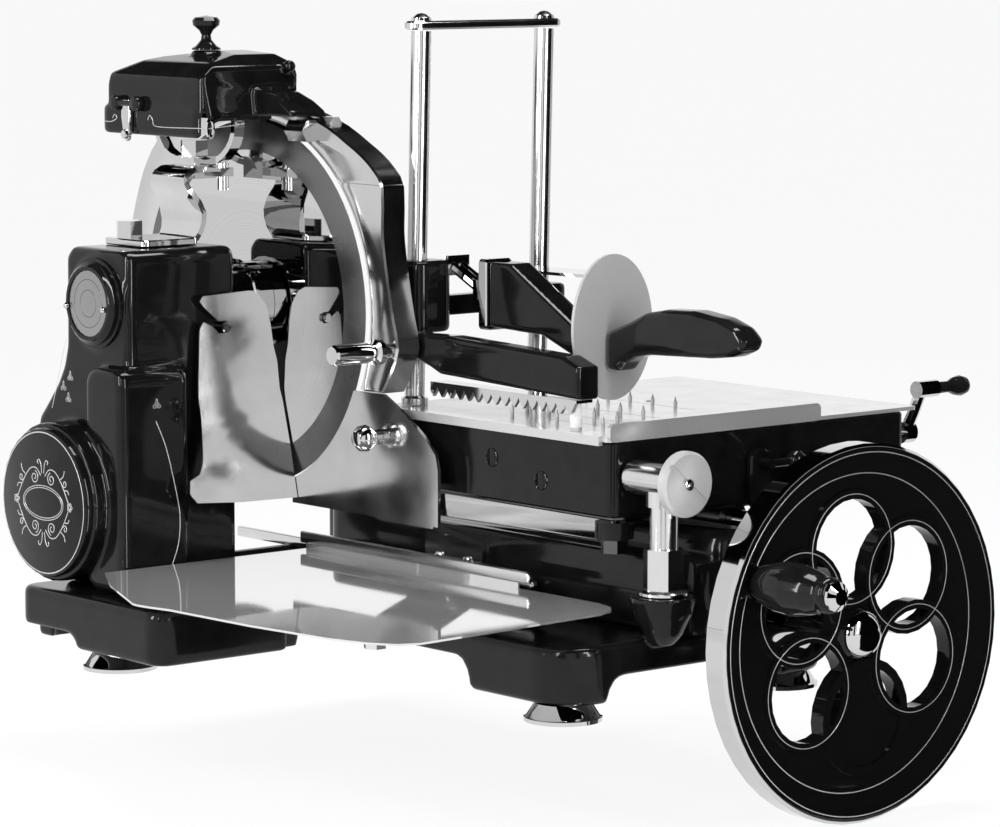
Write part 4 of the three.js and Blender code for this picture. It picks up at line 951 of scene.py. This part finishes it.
@dataclass
class WindowTrim:
    """Studs on the round window's bezel and two rings on its dial."""

    bezel_face: Seat = Seat.front(-161.3)
    dial_face: Seat = Seat.front(-160.3)
    studs: Line = ((-35, 287), (17, 287))
    stud: Line = ((2.6, LIFT), (2.6, 1.6), (1.9, 2.4), (0, 2.7))
    centre: Flat = (-6.5, 290.5)
    rings: Flat = (11.0, 19.5)
    ring_line: Flat = (0.6, 0.1)

    def build(self, shop: Workshop) -> None:
        """Adds the studs and the rings.

        Args:
            shop: Makes the pieces.
        """
        shape = Shape()
        shape.turned(self.bezel_face, self.stud, *self.studs, steps=20)
        shop.add("window_studs", shape, shop.paint.chrome, "frame", "chrome")
        shape = Shape()
        for radius in self.rings:
            shape.ribbon(self.dial_face, arc(self.centre, radius), *self.ring_line)
        shop.add("dial_rings", shape, shop.paint.dark, "frame", "dark_steel")


@dataclass
class ChromeBar:
    """A long chrome bar with a rounded tip, along a front face."""

    name: str
    body: str
    face: Seat
    start: float
    tip: float
    low: float
    high: float
    thick: float
    gap: float = 0.2
    ease: float = 1.2

    def build(self, shop: Workshop) -> None:
        """Adds the bar.

        Args:
            shop: Makes the piece.
        """
        radius = (self.high - self.low) / 2
        level = (self.high + self.low) / 2
        cap = arc((self.tip - radius, level), radius, -90, 90, 16)
        outline = ((self.start, self.low), *cap, (self.start, self.high))
        shape = Shape()
        shape.slab(self.face, outline, self.gap, self.thick, self.ease)
        shop.add(self.name, shape, shop.paint.column, self.body, "chrome")


@dataclass(frozen=True)
class Softener:
    """Rounds the coarse facets and edges of a moulded CAD node with a fine even skin, in metres."""

    voxel: float
    passes: int
    keep: float = 0.14
    wall: float = 0.0
    factor: float = 0.5

    def apply(self, node: bpy.types.Object) -> None:
        """Adds the modifiers, with a wall first where the node's own is too thin for the skin.

        Args:
            node: The CAD node.
        """
        if self.wall:
            wall = node.modifiers.new("wall", "SOLIDIFY")
            wall.thickness = self.wall
            wall.offset = -1.0
        skin = node.modifiers.new("even_skin", "REMESH")
        skin.mode = "VOXEL"
        skin.voxel_size = self.voxel
        skin.use_smooth_shade = True
        ease = node.modifiers.new("ease", "SMOOTH")
        ease.iterations = self.passes
        ease.factor = self.factor
        lean = node.modifiers.new("lean", "DECIMATE")
        lean.ratio = self.keep
        LOG.info("%s softened", node.name)


class Camera:
    """The view of the photograph, solved from the blade, the wheel and the upright edges."""

    PLACE = (2777.12, -2078.84, 603.31)
    RIGHT = (0.64546, 0.76380, 0.0)
    UP = (-0.09057, 0.07654, 0.99294)
    BACK = (0.75841, -0.64090, 0.11858)
    LENS = 151.2
    SENSOR = 36.0
    FAR = 100.0

    def build(self) -> None:
        """Adds the camera and makes it the scene's own."""
        data = bpy.data.cameras.new("camera")
        data.lens = self.LENS
        data.sensor_width = self.SENSOR
        data.clip_end = self.FAR
        made = bpy.data.objects.new("camera", data)
        turn = Matrix((self.RIGHT, self.UP, self.BACK)).transposed()
        made.matrix_world = Matrix.Translation(metres(self.PLACE)) @ turn.to_4x4()
        bpy.context.scene.collection.objects.link(made)
        bpy.context.scene.camera = made
        LOG.info("camera at %s", tuple(round(v, 3) for v in made.location))


@dataclass(frozen=True)
class Strip:
    """An upright lamp, by its place round the slicer in degrees and metres."""

    name: str
    angle: float
    radius: float
    height: float
    size: Flat
    power: float


@dataclass
class Studio:
    """A white room, lamps, and black cards that only the reflections see, in metres and degrees."""

    SEEN = ("Is Camera Ray", "Is Glossy Ray", "Is Transmission Ray")

    middle: Vector = field(default_factory=lambda: (CAD_BOX[0] + CAD_BOX[1]) / 2)
    floor_level: float = CAD_BOX[0][2]
    floor_size: float = 60.0
    floor_gap: float = 0.0005
    floor_tone: Flat = (0.9, 0.94)
    floor_glow: float = 0.9
    fill: float = 0.45
    black: float = 0.002
    card_radius: float = 1.9
    card_low: float = -0.4
    card_high: float = 2.6
    card_width: float = 15.0
    cards: Line = ((-64, -52), (-32, -22), (8, 66), (78, 90))
    ground_cards: Line = ((12, 66),)
    ground_width: float = 9.0
    ground_start: float = 0.44
    ground_gap: float = 0.002
    ceiling: Flat = (2.4, 3.0)
    strips: tuple[Strip, ...] = (
        Strip("strip_left", angle=-100, radius=1.8, height=0.9, size=(0.22, 1.5), power=26),
        Strip("strip_right", angle=-4, radius=1.85, height=0.8, size=(0.16, 1.5), power=18),
        Strip("strip_front", angle=-66, radius=1.85, height=0.9, size=(0.10, 1.4), power=9),
    )
    overhead: Point = (0.0, 0.2, 1.7)
    overhead_size: Flat = (0.5, 1.4)
    overhead_power: float = 30

    def world(self) -> None:
        """Makes the world white where it is seen or mirrored, and plain elsewhere."""
        world = bpy.data.worlds.new("studio")
        world.use_nodes = True
        tree = world.node_tree
        tree.nodes.clear()
        out = tree.nodes.new("ShaderNodeOutputWorld")
        shade = tree.nodes.new("ShaderNodeBackground")
        path = tree.nodes.new("ShaderNodeLightPath")
        seen = path.outputs[self.SEEN[0]]
        for name in self.SEEN[1:]:
            add = tree.nodes.new("ShaderNodeMath")
            add.operation = Maths.MAXIMUM.value
            tree.links.new(seen, add.inputs[0])
            tree.links.new(path.outputs[name], add.inputs[1])
            seen = add.outputs[0]
        level = tree.nodes.new("ShaderNodeMapRange")
        level.inputs["To Min"].default_value = self.fill
        tree.links.new(seen, level.inputs["Value"])
        tree.links.new(level.outputs["Result"], shade.inputs["Strength"])
        shade.inputs["Color"].default_value = (1, 1, 1, 1)
        tree.links.new(shade.outputs["Background"], out.inputs["Surface"])
        bpy.context.scene.world = world

    def floor(self) -> None:
        """Adds the pale floor, which keeps a soft shadow."""
        at = (0, 0, self.floor_level - self.floor_gap)
        bpy.ops.mesh.primitive_plane_add(size=self.floor_size, location=at)
        plane = bpy.context.object
        plane.name = "floor"
        g = Graph("floor_paint")
        path = g.node("LightPath")
        matt = g.node("BsdfDiffuse", Color=g.grey(g.ranged(g.noise(3), *self.floor_tone)))
        glow = g.node("Emission", Strength=1.0)
        seen = path.outputs[self.SEEN[0]]
        for name in self.SEEN[1:]:
            seen = g.joined(Maths.MAXIMUM, seen, path.outputs[name])
        share = g.joined(Maths.MULTIPLY, seen, self.floor_glow)
        mix = g.node("MixShader", i0=share, i1=matt.outputs[0], i2=glow.outputs[0])
        g.tree.links.new(mix.outputs[0], g.out.inputs["Surface"])
        plane.data.materials.append(g.material)

    def card(self, name: str, corners: list[Vector], material: Material) -> None:
        """Adds one black card.

        Args:
            name: Its name.
            corners: Its four corners in metres.
            material: Its black.
        """
        mesh = bpy.data.meshes.new(name)
        mesh.from_pydata(corners, [], [(0, 1, 2, 3)])
        card = bpy.data.objects.new(name, mesh)
        card.data.materials.append(material)
        bpy.context.scene.collection.objects.link(card)
        for ray in ("camera", "diffuse", "shadow", "transmission"):
            setattr(card, "visible_" + ray, False)

    def lamp(self, name: str, place: Vector, size: Flat, power: float) -> None:
        """Adds one softbox that faces the slicer's middle.

        Args:
            name: Its name.
            place: Its middle in metres.
            size: Its width and height.
            power: Its power in watts.
        """
        data = bpy.data.lights.new(name, "AREA")
        data.shape = "RECTANGLE"
        data.size, data.size_y = size
        data.energy = power
        made = bpy.data.objects.new(name, data)
        made.location = place
        made.rotation_euler = (self.middle - place).to_track_quat("-Z", "Y").to_euler()
        bpy.context.scene.collection.objects.link(made)

    def around(self, angle: float, radius: float, height: float) -> Vector:
        """Returns a point round the slicer's middle.

        Args:
            angle: Degrees from +X toward +Y.
            radius: Distance from the middle in metres.
            height: Its height in metres.

        Returns:
            The point in metres.
        """
        turn = math.radians(angle)
        x = self.middle.x + radius * math.cos(turn)
        y = self.middle.y + radius * math.sin(turn)
        return Vector((x, y, height))

    @staticmethod
    def parts(span: Flat, width: float) -> list[Flat]:
        """Cuts a span of angles into equal parts.

        Args:
            span: Its first and last angle.
            width: About how wide a part is.

        Returns:
            The first and last angle of each part.
        """
        low, high = span
        count = max(1, round((high - low) / width))
        steps = [low + (high - low) * k / count for k in range(count + 1)]
        return list(zip(steps, steps[1:]))

    def build(self) -> None:
        """Builds the room, the cards and the lamps."""
        self.world()
        self.floor()
        g = Graph("black_card")
        black = g.principled(Base_Color=(self.black, self.black, self.black, 1), Roughness=1.0,
                             Specular_IOR_Level=0.0)
        for i, span in enumerate(self.cards):
            for k, (a, b) in enumerate(self.parts(span, self.card_width)):
                ends = ((a, self.card_low), (b, self.card_low), (b, self.card_high),
                        (a, self.card_high))
                corners = [self.around(angle, self.card_radius, height) for angle, height in ends]
                self.card(f"card_{i}_{k}", corners, black)
        level = self.floor_level + self.ground_gap
        for i, span in enumerate(self.ground_cards):
            for k, (a, b) in enumerate(self.parts(span, self.ground_width)):
                ends = ((a, self.ground_start), (a, self.card_radius), (b, self.card_radius),
                        (b, self.ground_start))
                corners = [self.around(angle, radius, level) for angle, radius in ends]
                self.card(f"ground_{i}_{k}", corners, black)
        height, half = self.ceiling
        ends = ((-half, -half), (half, -half), (half, half), (-half, half))
        self.card("card_top", [Vector((x, y, height)) for x, y in ends], black)
        for strip in self.strips:
            place = self.around(strip.angle, strip.radius, strip.height)
            self.lamp(strip.name, place, strip.size, strip.power)
        place = self.middle + Vector(self.overhead)
        self.lamp("overhead", place, self.overhead_size, self.overhead_power)
        LOG.info("studio ready")


class Dresser:
    """Gives every CAD node its finish and its smooth shading."""

    SOFTENED = {
        "sharpener_cover": Softener(voxel=0.001, passes=40, wall=0.0014),
        "drive_housing": Softener(voxel=0.0015, passes=24, keep=0.1),
        "base_casting": Softener(voxel=0.0018, passes=14, keep=0.08),
        "paddle_handle": Softener(voxel=0.001, passes=50),
        "press_head": Softener(voxel=0.001, passes=14),
        "press_lever": Softener(voxel=0.001, passes=20),
        "hand_grip": Softener(voxel=0.0009, passes=20),
    }

    def __init__(self, paint: Palette, shading: Shading) -> None:
        """Keeps the finishes and a list of the nodes that have none yet.

        Args:
            paint: The palette.
            shading: The shared smoothing.
        """
        self.paint = paint
        self.shading = shading
        self.bare = dict(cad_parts)

    def dress(self, material: Material, *names: str) -> None:
        """Puts a finish on CAD nodes.

        Args:
            material: The finish.
            *names: The nodes.
        """
        for name in names:
            node = self.bare.pop(name)
            node.data.materials.clear()
            node.data.materials.append(material)
            self.shading.apply(node)
            LOG.info("%s: %s", name, material.name)

    def build(self) -> None:
        """Dresses all the nodes and softens the moulded ones."""
        p = self.paint
        self.dress(p.cast, "base_casting", "bed_casting")
        self.dress(p.enamel, "drive_housing", "round_cover", "window_bezel", "table_body",
                   "table_lever", "press_head", "press_lever", "sharpener_cover")
        self.dress(p.wheel, "flywheel")
        self.dress(p.handle, "cover_knob", "hand_grip", "crank_knob", "paddle_handle",
                   "front_roller")
        self.dress(p.chrome, "guide_rod", "spindle_sleeve", "blade_spindle", "guard_lock_knob",
                   "guard_round_knob", "deflector_pin", "hub_cap", "grip_spindle",
                   "shaft_sleeve", "feed_crank", "press_comb", "lever_end_plate", "lever_bars",
                   "leaf_guard", "sharpener_post", "front_stone_holder", "rear_stone_holder",
                   "foot_front", "foot_rear_right", "foot_left", "foot_rear_left")
        self.dress(p.table, "table_sheet")
        self.dress(p.tray, "slice_tray")
        self.dress(p.column, "front_column", "rear_column", "press_crossbar",
                   "regulator_pillar", "regulator_body")
        self.dress(p.satin, "hand_guard", "regulator_dial")
        self.dress(p.guard, "blade_guard", "edge_cover", "guard_plate")
        self.dress(p.brushed, "slice_deflector")
        self.dress(p.blade, "blade")
        self.dress(p.machined, "drive_shaft", "cross_shaft", "upper_sprocket", "drive_chain")
        self.dress(p.dark, "lower_carriage")
        self.dress(p.dial, "window_dial")
        self.dress(p.white, "press_roller")
        self.dress(p.stone, "front_stone", "rear_stone")
        for name, softener in self.SOFTENED.items():
            softener.apply(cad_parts[name])
        if self.bare:
            LOG.warning("no finish: %s", sorted(self.bare))


def main() -> None:
    """Builds the whole scene."""
    logging.basicConfig(level=logging.INFO, format="%(message)s")
    bpy.context.scene.view_settings.view_transform = "Standard"
    Camera().build()
    Studio().build()
    paint = Palette()
    shading = Shading()
    Dresser(paint, shading).build()
    shop = Workshop(paint, shading)
    parts = (
        CoverOrnament(), HousingStripes(), SharpenerTrim(), WheelLines(), GuardFoot(),
        TableTrim(), RegulatorScrew(), WindowTrim(),
        ChromeBar("front_bar", "frame", Seat.front(46.2), start=-79, tip=308, low=74, high=82.5,
                  thick=5.0),
        ChromeBar("tray_bar", "tray", Seat.front(15.5), start=48, tip=338, low=86, high=95.5,
                  thick=4.0),
    )
    for part in parts:
        part.build(shop)


if __name__ == "__main__":
    main()
